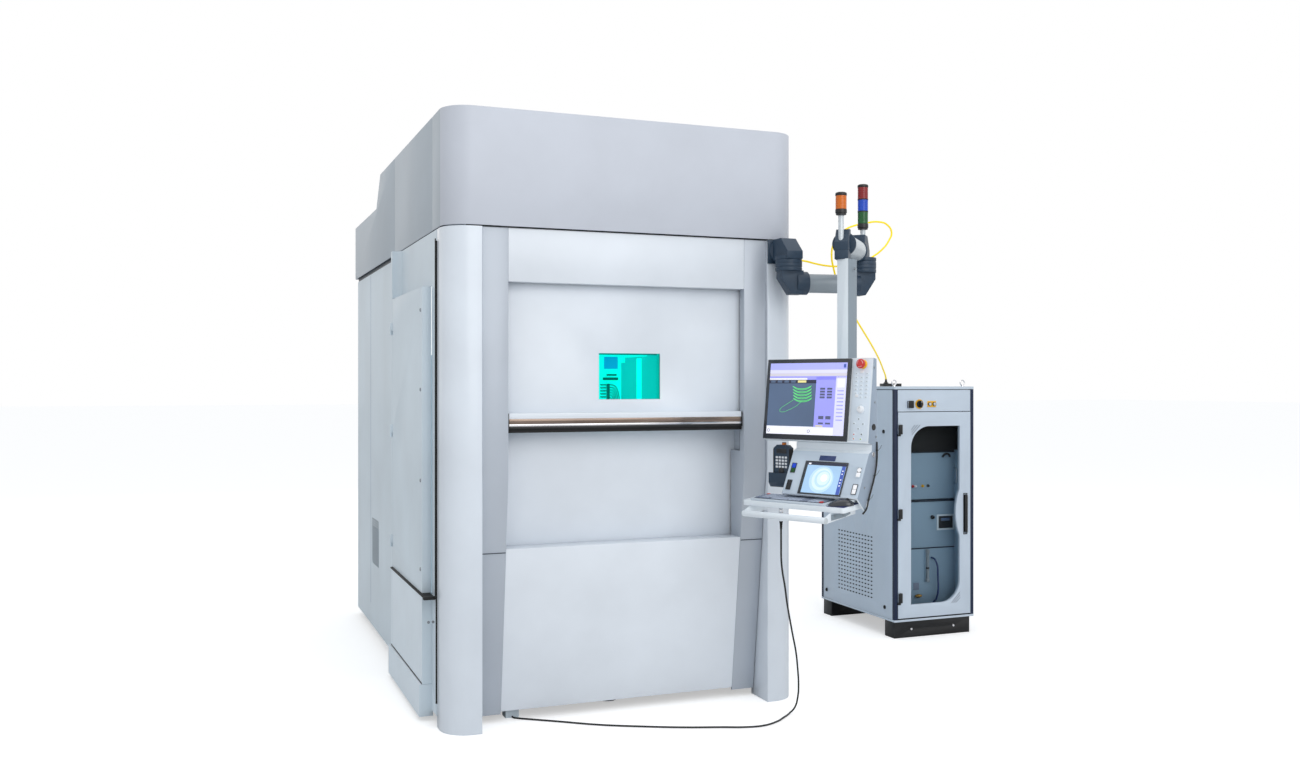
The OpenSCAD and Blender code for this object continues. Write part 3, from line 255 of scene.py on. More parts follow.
WHITE = Finish("white_powder_coat", (0.90, 0.925, 0.955), 0.38, coat=0.15)
COLUMN = Finish("column_gloss_paint", (0.885, 0.915, 0.95), 0.34, coat=0.3)
SILVER = Finish("silver_metallic_paint", (0.72, 0.75, 0.79), 0.40, 0.15, 0.2, Grain.METALLIC)
HOOD = Finish("hood_metallic_paint", (0.79, 0.81, 0.85), 0.50, 0.05, 0.05, Grain.METALLIC)
# Painted shade: a darker copy of the hood paint for the hood's side faces.
HOOD_SIDE_SHADE = Finish("hood_side_painted_shade", (0.69, 0.73, 0.765), 0.50, 0.05, 0.05, Grain.METALLIC)
SIDE = Finish("side_grey_paint", (0.835, 0.885, 0.92), 0.46, coat=0.05)
# Painted light: a lighter copy of the side grey for the lower left side faces.
LOW_SIDE_LIGHT = Finish("low_side_painted_light", (0.895, 0.94, 0.975), 0.46, coat=0.05)
FRAME_GREY = Finish("frame_paint", (0.34, 0.36, 0.38), 0.5)
IRON = Finish("bed_iron", (0.22, 0.26, 0.29), 0.55, grain=Grain.CAST)
STEEL = Finish("ground_steel", (0.66, 0.69, 0.73), 0.30, 0.9, grain=Grain.BRUSHED)
SLATE = Finish("slate_casting_paint", (0.14, 0.225, 0.305), 0.46)
TUBE_GREY = Finish("tube_anodised", (0.58, 0.62, 0.65), 0.42, 0.1)
DRUM_GREY = Finish("drum_paint", (0.80, 0.83, 0.85), 0.32, 0.2, 0.2, Grain.METALLIC)
POST_GREY = Finish("post_paint", (0.87, 0.905, 0.93), 0.40, 0.05)
# Darker grey for the post's cable channel and bracket, and painted shade on the post's right side.
POST_DARK_AND_SHADE = Finish("post_channel", (0.55, 0.60, 0.64), 0.5)
BLACK = Finish("black_moulding", (0.055, 0.06, 0.07), 0.40, grain=Grain.MOULDED)
RUBBER = Finish("black_rubber", (0.035, 0.037, 0.042), 0.72, grain=Grain.MOULDED)
CHROME = Finish("polished_steel", (0.86, 0.86, 0.87), 0.13, 1.0, grain=Grain.SMOOTH)
# Painted reflection: a brown tone on polished metal for the grip rail's strip.
GRIP_REFLECTION = Finish("grip_face_painted_reflection", (0.50, 0.44, 0.40), 0.20, 0.85, grain=Grain.BRUSHED, vary=0.25)
SCREW = Finish("zinc_screw", (0.60, 0.62, 0.64), 0.32, 1.0, grain=Grain.SMOOTH)
CONSOLE_WHITE = Finish("console_coat", (0.92, 0.95, 0.975), 0.40, coat=0.1)
BEZEL = Finish("bezel_gloss", (0.125, 0.145, 0.18), 0.24, coat=0.5, grain=Grain.SMOOTH)
KEY_WHITE = Finish("key_white", (0.93, 0.94, 0.955), 0.42, grain=Grain.MOULDED)
# Painted shade: a greyer copy of the white key colour for the keyboard's key tops.
KEY_TOP_SHADE = Finish("key_top_painted_shade", (0.66, 0.70, 0.77), 0.5, grain=Grain.MOULDED)
CASE_GREY = Finish("keyboard_case", (0.80, 0.84, 0.88), 0.45, grain=Grain.MOULDED)
# Painted shade: a darker copy of the console white for the console's right flank.
FLANK_SHADE = Finish("console_flank_painted_shade", (0.60, 0.66, 0.73), 0.45, coat=0.05)
# Painted shade: a darker copy of the console white for the sloping desk.
DESK_SHADE = Finish("console_desk_painted_shade", (0.78, 0.835, 0.89), 0.42, coat=0.05)
SEAM_GREY = Finish("panel_seam", (0.52, 0.59, 0.70), 0.6)
VENT_GREY = Finish("vent_shade", (0.40, 0.44, 0.48), 0.6)
# Painted light: the glow on these interior finishes stands for the light inside the cell.
LIT_WALL = Finish("lit_wall", (0.95, 0.97, 0.97), 0.5, glow=0.85)
LIT_SLATE = Finish("lit_slate", (0.62, 0.70, 0.74), 0.5, glow=0.55)
SHADE_TEAL = Finish("lit_shade", (0.50, 0.60, 0.60), 0.6, glow=0.15)
RING_SKY = lit("ui_ring", (0.74, 0.86, 0.97))
RING_PALE = lit("ui_ring_pale", (0.84, 0.92, 1.0))
KEY_GREY = Finish("key_grey", (0.50, 0.54, 0.62), 0.5, grain=Grain.MOULDED)
KEY_BED = Finish("key_bed", (0.34, 0.38, 0.44), 0.55, grain=Grain.MOULDED)
KEY_RED = Finish("key_red", (0.82, 0.18, 0.15), 0.4, grain=Grain.MOULDED)
FOIL = Finish("keypad_foil", (0.885, 0.93, 0.975), 0.46, grain=Grain.MOULDED)
FOIL_KEY = Finish("keypad_key", (0.90, 0.94, 0.975), 0.44, grain=Grain.MOULDED)
FOIL_MARK = Finish("keypad_mark", (0.50, 0.54, 0.58), 0.5)
STOP_RED = Finish("stop_red", (0.80, 0.10, 0.11), 0.28, coat=0.5, grain=Grain.SMOOTH)
STOP_YELLOW = Finish("stop_yellow", (0.96, 0.72, 0.06), 0.35, coat=0.3, grain=Grain.SMOOTH)
BUTTON_BLUE = Finish("button_blue", (0.02, 0.25, 0.80), 0.3, glow=0.15, grain=Grain.SMOOTH)
BUTTON_GREEN = Finish("button_green", (0.02, 0.30, 0.08), 0.3, grain=Grain.SMOOTH)
BUTTON_WHITE = Finish("button_white", (0.97, 0.97, 0.98), 0.3, glow=0.15, grain=Grain.SMOOTH)
BUTTON_BLACK = Finish("button_black", (0.12, 0.13, 0.15), 0.32, grain=Grain.SMOOTH)
# Painted light: the blue plate behind the window glows.
VALVE_GLOW = Finish("valve_plate_painted_glow", (0.55, 0.62, 0.98), 0.4, glow=0.5)
PLATE_BLUE = Finish("plate_blue", (0.10, 0.20, 0.42), 0.35, coat=0.3)
MAT_BLUE = Finish("mat_blue", (0.16, 0.20, 0.42), 0.8, grain=Grain.CAST)
NAVY = Finish("navy_gloss_paint", (0.0, 0.10, 0.24), 0.46)
PALE_BLUE = Finish("pale_blue_paint", (0.80, 0.85, 0.905), 0.42, coat=0.1)
MODULE = Finish("module_steel_blue", (0.60, 0.70, 0.78), 0.45, 0.1)
# Painted shade: near-black for strips that stand for the shade in gaps, joints and vent slots.
GAP_SHADE = Finish("painted_gap_shade", (0.13, 0.18, 0.24), 0.5)
ORANGE = Finish("plug_orange", (0.85, 0.45, 0.08), 0.4, grain=Grain.MOULDED)
BRASS = Finish("turned_brass", (0.72, 0.56, 0.30), 0.28, 1.0, grain=Grain.BRUSHED)
# Painted light: the yellow jacket glows a little to lift its shaded sides.
FIBRE_GLOW = Finish("fibre_jacket", (0.99, 0.86, 0.06), 0.42, glow=0.30, grain=Grain.MOULDED)
LEAD = Finish("lead_jacket", (0.05, 0.055, 0.06), 0.45, grain=Grain.MOULDED)
LAMP = Finish("lamp_cover", (0.97, 0.97, 0.95), 0.5, glow=6.0, grain=Grain.SMOOTH)
AMBER = Finish("lens_amber", (0.80, 0.40, 0.03), 0.28, coat=0.1, glow=0.06, grain=Grain.SMOOTH)
LENS_GREEN = Finish("lens_green", (0.0, 0.34, 0.13), 0.28, coat=0.1, grain=Grain.SMOOTH)
LENS_BLUE = Finish("lens_blue", (0.0, 0.27, 0.74), 0.28, coat=0.1, glow=0.05, grain=Grain.SMOOTH)
LENS_RED = Finish("lens_red", (0.52, 0.04, 0.07), 0.28, coat=0.1, glow=0.05, grain=Grain.SMOOTH)
UI_LAVENDER = lit("ui_lavender", (0.68, 0.69, 0.95))
UI_LIGHT = lit("ui_light", (0.86, 0.86, 0.99))
UI_WHITE = lit("ui_white", (0.95, 0.95, 1.0))
UI_BEIGE = lit("ui_beige", (0.84, 0.82, 0.86), 0.3)
UI_PURPLE = lit("ui_purple", (0.62, 0.62, 0.96))
UI_SLATE = lit("ui_slate", (0.34, 0.42, 0.54), 0.2, 0.10)
UI_DARK = lit("ui_dark", (0.16, 0.18, 0.27), 0.1)
UI_CHIP = lit("ui_chip", (0.36, 0.38, 0.52), 0.15)
UI_GREEN = Finish("ui_green", (0.42, 0.88, 0.52), 0.3, glow=0.3, grain=Grain.SMOOTH)
UI_YELLOW = Finish("ui_yellow", (0.93, 0.88, 0.60), 0.3, glow=0.3, grain=Grain.SMOOTH)
UI_BLUE = Finish("ui_blue", (0.26, 0.36, 0.70), 0.3, glow=0.25, grain=Grain.SMOOTH)
UI_SKY = lit("ui_sky", (0.66, 0.80, 0.93), 0.3, 0.08)
UI_LIME = Finish("ui_lime", (0.62, 0.78, 0.20), 0.35, grain=Grain.SMOOTH)
LID_GREY = Finish("lid_paint", (0.80, 0.85, 0.90), 0.42, coat=0.1)
# Painted light: the laser window's glass glows teal.
LASER_GLASS_GLOW = Pane("laser_glass", (0.0, 0.98, 0.88), (0.0, 1.0, 0.955), 0.93, glow=0.25)
SMOKED_GLASS = Pane("smoked_glass", (0.04, 0.06, 0.08), (0.97, 0.98, 0.985), 0.92)


class Bench:
    """Modelling moves that every sub-assembly uses."""

    ROUND_SHARE = 0.42
    RIM_SHARE = 0.3
    TILE_EDGE = 0.0002
    WELD = 0.00002

    @staticmethod
    def clear() -> None:
        """Deselects everything, so that an operator acts on one piece only."""
        bpy.ops.object.select_all(action="DESELECT")

    @staticmethod
    def linked(name: str, data: bpy.types.ID) -> bpy.types.Object:
        """Puts a mesh or curve into the scene as a new piece, selected and active."""
        Bench.clear()
        obj = bpy.data.objects.new(name, data)
        bpy.context.scene.collection.objects.link(obj)
        obj.select_set(True)
        bpy.context.view_layer.objects.active = obj
        return obj

    @staticmethod
    def bevelled(obj: bpy.types.Object, width: float, rings: int, angle: float) -> None:
        """Rounds a piece's edges.

        Args:
            obj: the piece, active and in object mode.
            width: the radius of the rounded edges.
            rings: how many rows of faces round an edge.
            angle: edges flatter than this, in degrees, are left alone.
        """
        bpy.ops.object.modifier_add(type="BEVEL")
        bevel = obj.modifiers[-1]
        bevel.width = width
        bevel.segments = rings
        bevel.limit_method = "ANGLE"
        bevel.angle_limit = math.radians(angle)
        bpy.ops.object.modifier_apply(modifier=bevel.name)

    @staticmethod
    def seal(obj: bpy.types.Object, name: str, at: Optional[Matrix] = None,
             angle: float = 35.0) -> bpy.types.Object:
        """Names a piece, puts its place into its mesh and smooths it.

        Args:
            obj: the piece, active and in object mode.
            name: the piece's name.
            at: the frame that the piece was drawn in.
            angle: edges sharper than this, in degrees, stay sharp.

        Returns:
            The same piece, with its object at the origin.
        """
        obj.name = name
        obj.data.name = name
        bpy.context.view_layer.update()
        if at is not None:
            obj.matrix_world = at @ obj.matrix_world
            bpy.context.view_layer.update()
        bpy.ops.object.transform_apply(location=True, rotation=True, scale=True)
        bpy.ops.object.shade_smooth_by_angle(angle=math.radians(angle))
        return obj

    @staticmethod
    def block(name: str, lo: Sequence[float], hi: Sequence[float], edge: float = 0.001,
              at: Optional[Matrix] = None, rings: int = 2) -> bpy.types.Object:
        """Models a block with rounded edges between two corners.

        Args:
            name: the piece's name.
            lo: its lowest corner.
            hi: its highest corner.
            edge: the radius of its edges.
            at: the frame that the corners are in.
            rings: how many rows of faces round an edge.

        Returns:
            The new piece.
        """
        Bench.clear()
        middle = [(a + b) / 2 for a, b in zip(lo, hi)]
        size = [abs(b - a) for a, b in zip(lo, hi)]
        bpy.ops.mesh.primitive_cube_add(size=1.0, location=middle, scale=size)
        obj = bpy.context.object
        bpy.ops.object.transform_apply(location=False, rotation=False, scale=True)
        with editing():
            bpy.ops.mesh.bevel(offset=min(edge, min(size) * Bench.ROUND_SHARE), segments=rings,
                               affect="EDGES")
        return Bench.seal(obj, name, at)

    @staticmethod
    def disc(name: str, middle: Sequence[float], radius: float, depth: float,
             axis: str = "Z", edge: float = 0.0006, sides: int = 32,
             at: Optional[Matrix] = None) -> bpy.types.Object:
        """Models a turned disc or rod with rounded rims.

        Args:
            name: the piece's name.
            middle: the middle of the disc.
            radius: its radius.
            depth: its length along the axis.
            axis: the letter of the axis that it is turned on, X or Z.
            edge: the radius of its rims.
            sides: how many sides the circle has.
            at: the frame that the middle is in.

        Returns:
            The new piece.
        """
        rim = min(edge, radius * Bench.RIM_SHARE, depth * Bench.RIM_SHARE)
        low, high = -depth / 2, depth / 2
        obj = Bench.turned(name, [(radius - rim, low), (radius, low + rim),
                                  (radius, high - rim), (radius - rim, high)], sides=sides)
        obj.rotation_euler = (0.0, math.pi / 2 if axis == "X" else 0.0, 0.0)
        obj.location = middle
        return Bench.seal(obj, name, at, 30.0)

    @staticmethod
    def turned(name: str, outline: Sequence[Sequence[float]], at: Optional[Matrix] = None,
               sides: int = 32) -> bpy.types.Object:
        """Models a turned shape about Z, ring by ring, closed at both ends.

        Args:
            name: the piece's name.
            outline: radius and height of each ring, from the foot to the top.
            at: the frame that the axis is in.
            sides: how many sides the circle has.

        Returns:
            The new piece.
        """
        Bench.clear()
        radius, height = outline[0]
        bpy.ops.mesh.primitive_circle_add(vertices=sides, radius=radius, fill_type="NGON",
                                          location=(0.0, 0.0, height))
        with editing():
            for next_radius, next_height in outline[1:]:
                bpy.ops.mesh.extrude_region_move(
                    TRANSFORM_OT_translate={"value": (0.0, 0.0, next_height - height)})
                grow = next_radius / radius
                bpy.ops.transform.resize(value=(grow, grow, 1.0))
                radius, height = next_radius, next_height
            bpy.ops.mesh.select_all(action="SELECT")
            bpy.ops.mesh.normals_make_consistent(inside=False)
        return Bench.seal(bpy.context.object, name, at, 32.0)

    @staticmethod
    def prism(name: str, outline: Sequence[Sequence[float]], depth: float, edge: float,
              at: Matrix) -> bpy.types.Object:
        """Models a plate of any outline in X and Y, raised along Z.

        Args:
            name: the piece's name.
            outline: the corners of its foot, in order.
            depth: its height along Z.
            edge: the radius of its edges.
            at: the frame that the outline is in.

        Returns:
            The new piece.
        """
        mesh = bpy.data.meshes.new(name)
        mesh.from_pydata([(x, y, 0.0) for x, y in outline], [], [range(len(outline))])
        obj = Bench.linked(name, mesh)
        with editing():
            bpy.ops.mesh.extrude_region_move(TRANSFORM_OT_translate={"value": (0.0, 0.0, depth)})
            bpy.ops.mesh.select_all(action="SELECT")
            bpy.ops.mesh.normals_make_consistent(inside=False)
        Bench.bevelled(obj, edge, 2, 25.0)
        return Bench.seal(obj, name, at, 32.0)

    @staticmethod
    def hoop(name: str, middle: Sequence[float], radius: float, wire: float,
             turn: Sequence[float] = (0.0, 0.0, 0.0),
             at: Optional[Matrix] = None) -> bpy.types.Object:
        """Models a round ring of round wire.

        Args:
            name: the piece's name.
            middle: the middle of the ring.
            radius: the ring's radius at the wire's middle.
            wire: the wire's radius.
            turn: Euler angles of the ring.
            at: the frame that the middle is in.

        Returns:
            The new piece.
        """
        Bench.clear()
        bpy.ops.mesh.primitive_torus_add(location=middle, rotation=turn, major_radius=radius,
                                         minor_radius=wire, major_segments=36,
                                         minor_segments=10)
        with editing():
            bpy.ops.mesh.normals_make_consistent(inside=False)
        return Bench.seal(bpy.context.object, name, at, 60.0)

    @staticmethod
    def screw(name: str, middle: Sequence[float], radius: float, axis: str,
              at: Optional[Matrix] = None) -> bpy.types.Object:
        """Models a socket screw's head: a rim, a rounded edge and a six-sided recess.

        Args:
            name: the piece's name.
            middle: where the head's seat is.
            radius: the head's radius.
            axis: the axis that it is driven along, X or Y, with its sign.
            at: the frame that the middle is in.

        Returns:
            The new piece.
        """
        Bench.clear()
        bpy.ops.mesh.primitive_cylinder_add(vertices=24, radius=radius, depth=radius * 0.7)
        obj = bpy.context.object
        bpy.ops.object.mode_set(mode="OBJECT")
        for poly in obj.data.polygons:
            poly.select = poly.normal.z > 0.9
        bpy.ops.object.mode_set(mode="EDIT")
        bpy.ops.mesh.select_mode(type="FACE")
        bpy.ops.mesh.inset(thickness=radius * 0.15)
        bpy.ops.transform.translate(value=(0, 0, radius * 0.12))
        bpy.ops.mesh.inset(thickness=radius * 0.33)
        bpy.ops.transform.translate(value=(0, 0, -radius * 0.45))
        bpy.ops.object.mode_set(mode="OBJECT")
        quarter = -math.pi / 2 if axis.startswith("-") else math.pi / 2
        obj.rotation_euler = (0.0, quarter, 0.0) if axis[-1] == "X" else (-quarter, 0.0, 0.0)
        obj.location = middle
        return Bench.seal(obj, name, at, 30.0)

    @staticmethod
    def softened(node: str, width: float, rings: int = 2) -> bpy.types.Object:
        """Copies a solid's mesh and rounds its edges.

        Args:
            node: the solid that is copied.
            width: the radius of the rounded edges.
            rings: how many rows of faces round an edge.

        Returns:
            The rounded copy.
        """
        obj = Bench.linked(node + "_cover", bpy.data.objects[node].data.copy())
        obj.data.materials.clear()
        with editing():
            bpy.ops.mesh.remove_doubles(threshold=Bench.WELD)
            bpy.ops.mesh.dissolve_limited(angle_limit=math.radians(1.0))
        Bench.bevelled(obj, width, rings, 30.0)
        return Bench.seal(obj, node + "_cover", None, 32.0)

    @staticmethod
    def copies(obj: bpy.types.Object, name: str, places: Sequence[Sequence[float]],
               at: Optional[Matrix] = None) -> bpy.types.Object:
        """Sets copies of one modelled shape at several places and joins them.

        Args:
            obj: the shape, drawn about the origin. It is used up.
            name: the joined piece's name.
            places: where each copy goes; numbers four to six, when given, scale it.
            at: the frame that the places are in.

        Returns:
            The joined piece.
        """
        made = []
        for spot in places:
            twin = bpy.data.objects.new(name, obj.data.copy())
            bpy.context.scene.collection.objects.link(twin)
            size = spot[3:6] if len(spot) > 3 else (1.0, 1.0, 1.0)
            local = Matrix.Translation(spot[:3]) @ Matrix.Diagonal((*size, 1.0))
            twin.data.transform((at or Matrix.Identity(4)) @ local)
            made.append(twin)
        bpy.data.objects.remove(obj)
        return Bench.seal(Bench.merged(made, name), name)

    @staticmethod
    def curve(name: str, route: Sequence[Sequence[float]]) -> bpy.types.Object:
        """Lays a smooth curve through points."""
        line = bpy.data.curves.new(name, "CURVE")
        line.dimensions = "3D"
        spline = line.splines.new("BEZIER")
        spline.bezier_points.add(len(route) - 1)
        for knot, spot in zip(spline.bezier_points, route):
            knot.co = spot
            knot.handle_left_type = knot.handle_right_type = "AUTO"
        return Bench.linked(name, line)

    @staticmethod
    def hose(name: str, route: Sequence[Sequence[float]], radius: float,
             smooth: int = 6, at: Optional[Matrix] = None) -> bpy.types.Object:
        """Models a round hose or wire along a smooth curve through points.

        Args:
            name: the piece's name.
            route: the points that its centreline passes.
            radius: the hose's radius.
            smooth: how many steps there are between two points.
            at: the frame that the points are in.

        Returns:
            A closed mesh tube.
        """
        line = Bench.curve(name, route).data
        line.resolution_u = smooth
        line.bevel_depth = radius
        line.bevel_resolution = 4
        line.use_fill_caps = True
        bpy.ops.object.convert(target="MESH")
        return Bench.seal(bpy.context.object, name, at, 60.0)

    @staticmethod
    def centreline(route: Sequence[Sequence[float]], smooth: int) -> list[list[float]]:
        """Finds the points along the smooth curve that a hose with this route follows.

        Args:
            route: the points that the curve passes.
            smooth: how many steps there are between two points.

        Returns:
            The curve's points in order.
        """
        holder = Bench.curve("line", route)
        line = holder.data
        bpy.context.view_layer.update()
        knots = list(line.splines[0].bezier_points)
        path = [list(knots[0].co)]
        for a, b in zip(knots, knots[1:]):
            steps = interpolate_bezier(a.co, a.handle_right, b.handle_left, b.co, smooth + 1)
            path += [list(step) for step in steps[1:]]
        bpy.data.objects.remove(holder)
        bpy.data.curves.remove(line)
        return path

    @staticmethod
    def reach(path: Sequence[Sequence[float]]) -> float:
        """Adds up the length of a line of points."""
        return sum((Vector(b) - Vector(a)).length for a, b in zip(path, path[1:]))

    @staticmethod
    def merged(parts: Sequence[bpy.types.Object], name: str) -> bpy.types.Object:
        """Joins parts into one piece that keeps each part's finish.

        Args:
            parts: the parts, each with its own finish.
            name: the joined piece's name.

        Returns:
            The joined piece.
        """
        Bench.clear()
        for part in parts:
            part.select_set(True)
        bpy.context.view_layer.objects.active = parts[0]
        if len(parts) > 1:
            bpy.ops.object.join()
        parts[0].name = name
        parts[0].data.name = name
        return parts[0]

    @staticmethod
    def dressed(obj: bpy.types.Object, finish: "Finish | Pane") -> bpy.types.Object:
        """Gives a part one finish all over."""
        obj.data.materials.clear()
        obj.data.materials.append(finish.material())
        return obj

    @staticmethod
    def tinted(obj: bpy.types.Object, finish: Finish,
               chosen: Callable[[Vector, Vector], bool]) -> bpy.types.Object:
        """Gives some faces of a piece another finish.

        Args:
            obj: the piece, already dressed.
            finish: the other finish.
            chosen: tells from a face's middle and its normal whether it takes the finish.

        Returns:
            The same piece.
        """
        obj.data.materials.append(finish.material())
        last = len(obj.data.materials) - 1
        for face in obj.data.polygons:
            if chosen(face.center, face.normal):
                face.material_index = last
        return obj

    @staticmethod
    def mosaic(name: str, tiles: Sequence["Tile"], at: Matrix) -> bpy.types.Object:
        """Models flat fields on a panel as one piece with several finishes.

        Args:
            name: the piece's name.
            tiles: the fields.
            at: the panel's frame, with Z out of it.

        Returns:
            The joined piece.
        """
        parts = []
        for tile in tiles:
            block = Bench.block(name, (tile.left, tile.low, tile.base),
                                (tile.right, tile.high, tile.base + tile.rise),
                                Bench.TILE_EDGE, at, rings=1)
            parts.append(Bench.dressed(block, tile.finish))
        return Bench.merged(parts, name)


@dataclass(frozen=True)
class Tile:
    """A flat field that stands a little proud of a panel."""

    left: float
    low: float
    right: float
    high: float
    finish: Finish
    base: float
    rise: float = 0.0003


class Assembly:
    """A group of pieces that are made, dressed and reported together."""

    body = "cell"

    def fit(self, obj: bpy.types.Object, finish: Optional[Finish | Pane], slot: str,
            body: Optional[str] = None, stands_for: Sequence[str] = ()) -> bpy.types.Object:
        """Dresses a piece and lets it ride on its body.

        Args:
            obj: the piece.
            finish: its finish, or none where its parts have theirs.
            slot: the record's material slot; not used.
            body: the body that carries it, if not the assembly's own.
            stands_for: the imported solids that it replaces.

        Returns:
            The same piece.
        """
        if finish is not None:
            Bench.dressed(obj, finish)
        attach(obj, body or self.body)
        if stands_for:
            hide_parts(*stands_for)
        LOG.info("%s: %s on %s", type(self).__name__, obj.name, body or self.body)
        return obj

    def paint(self, node: str, finish: Finish | Pane) -> None:
        """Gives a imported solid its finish."""
        Bench.dressed(bpy.data.objects[node], finish)
        LOG.info("%s: %s painted %s", type(self).__name__, node, finish.name)

    def cover(self, node: str, finish: Finish, slot: str, width: float, rings: int = 2,
              body: Optional[str] = None) -> bpy.types.Object:
        """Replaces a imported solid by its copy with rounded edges.

        Args:
            node: the solid.
            finish: the copy's finish.
            slot: the record's material slot.
            width: the radius of the edges.
            rings: how many rows of faces round an edge.
            body: the body that carries it, if not the assembly's own.

        Returns:
            The copy.
        """
        return self.fit(Bench.softened(node, width, rings), finish, slot, body, [node])

    def bars(self, name: str, spans: Sequence[Span], edge: float, finish: Finish, slot: str,
             body: Optional[str] = None, at: Optional[Matrix] = None) -> bpy.types.Object:
        """Fits one or more blocks as one piece.

        Args:
            name: the piece's name.
            spans: each block's lowest and highest corner.
            edge: the radius of their edges.
            finish: their finish.
            slot: the record's material slot.
            body: the body that carries them, if not the assembly's own.
            at: the frame that the corners are in.

        Returns:
            The piece.
        """
        parts = [Bench.block(name, low, high, edge, at) for low, high in spans]
        return self.fit(Bench.merged(parts, name), finish, slot, body)

    def array(self, name: str, span: Span, edge: float, places: Sequence[Sequence[float]],
              finish: Finish, slot: str, at: Optional[Matrix] = None) -> None:
        """Fits copies of one block as one piece.

        Args:
            name: the piece's name.
            span: the block's lowest and highest corner, about the origin.
            edge: the radius of its edges.
            places: where the copies go.
            finish: their finish.
            slot: the record's material slot.
            at: the frame that the places are in.
        """
        self.fit(Bench.copies(Bench.block("unit", *span, edge), name, places, at), finish, slot)

    def lathe(self, name: str, outline: Sequence[Sequence[float]], at: Matrix, sides: int,
              finish: Finish, slot: str, body: Optional[str] = None,
              stands_for: Sequence[str] = ()) -> None:
        """Fits a turned shape as one piece.

        Args:
            name: the piece's name.
            outline: radius and height of each ring, from the foot to the top.
            at: the frame that the axis is in.
            sides: how many sides the circle has.
            finish: its finish.
            slot: the record's material slot.
            body: the body that carries it, if not the assembly's own.
            stands_for: the solids that it replaces.
        """
        self.fit(Bench.turned(name, outline, at, sides), finish, slot, body, stands_for)

    def group(self, name: str, parts: Sequence[tuple[bpy.types.Object, Finish]], slot: str,
              body: Optional[str] = None, stands_for: Sequence[str] = ()) -> None:
        """Fits parts with finishes of their own as one piece.

        Args:
            name: the piece's name.
            parts: each part and its finish.
            slot: the record's material slot.
            body: the body that carries it, if not the assembly's own.
            stands_for: the solids that it replaces.
        """
        dressed = [Bench.dressed(part, finish) for part, finish in parts]
        self.fit(Bench.merged(dressed, name), None, slot, body, stands_for)

    def screws(self, name: str, spots: Sequence[Sequence[float]], radius: float, axis: str,
               at: Optional[Matrix] = None, finish: Finish = SCREW,
               slot: str = "bright") -> None:
        """Fits screws as one piece.

        Args:
            name: the piece's name.
            spots: where the heads' seats are.
            radius: the heads' radius.
            axis: the axis that they are driven along, with its sign.
            at: the frame that the spots are in.
            finish: their finish.
            slot: the record's material slot.
        """
        heads = [Bench.screw(name, spot, radius, axis, at) for spot in spots]
        self.fit(Bench.merged(heads, name), finish, slot)


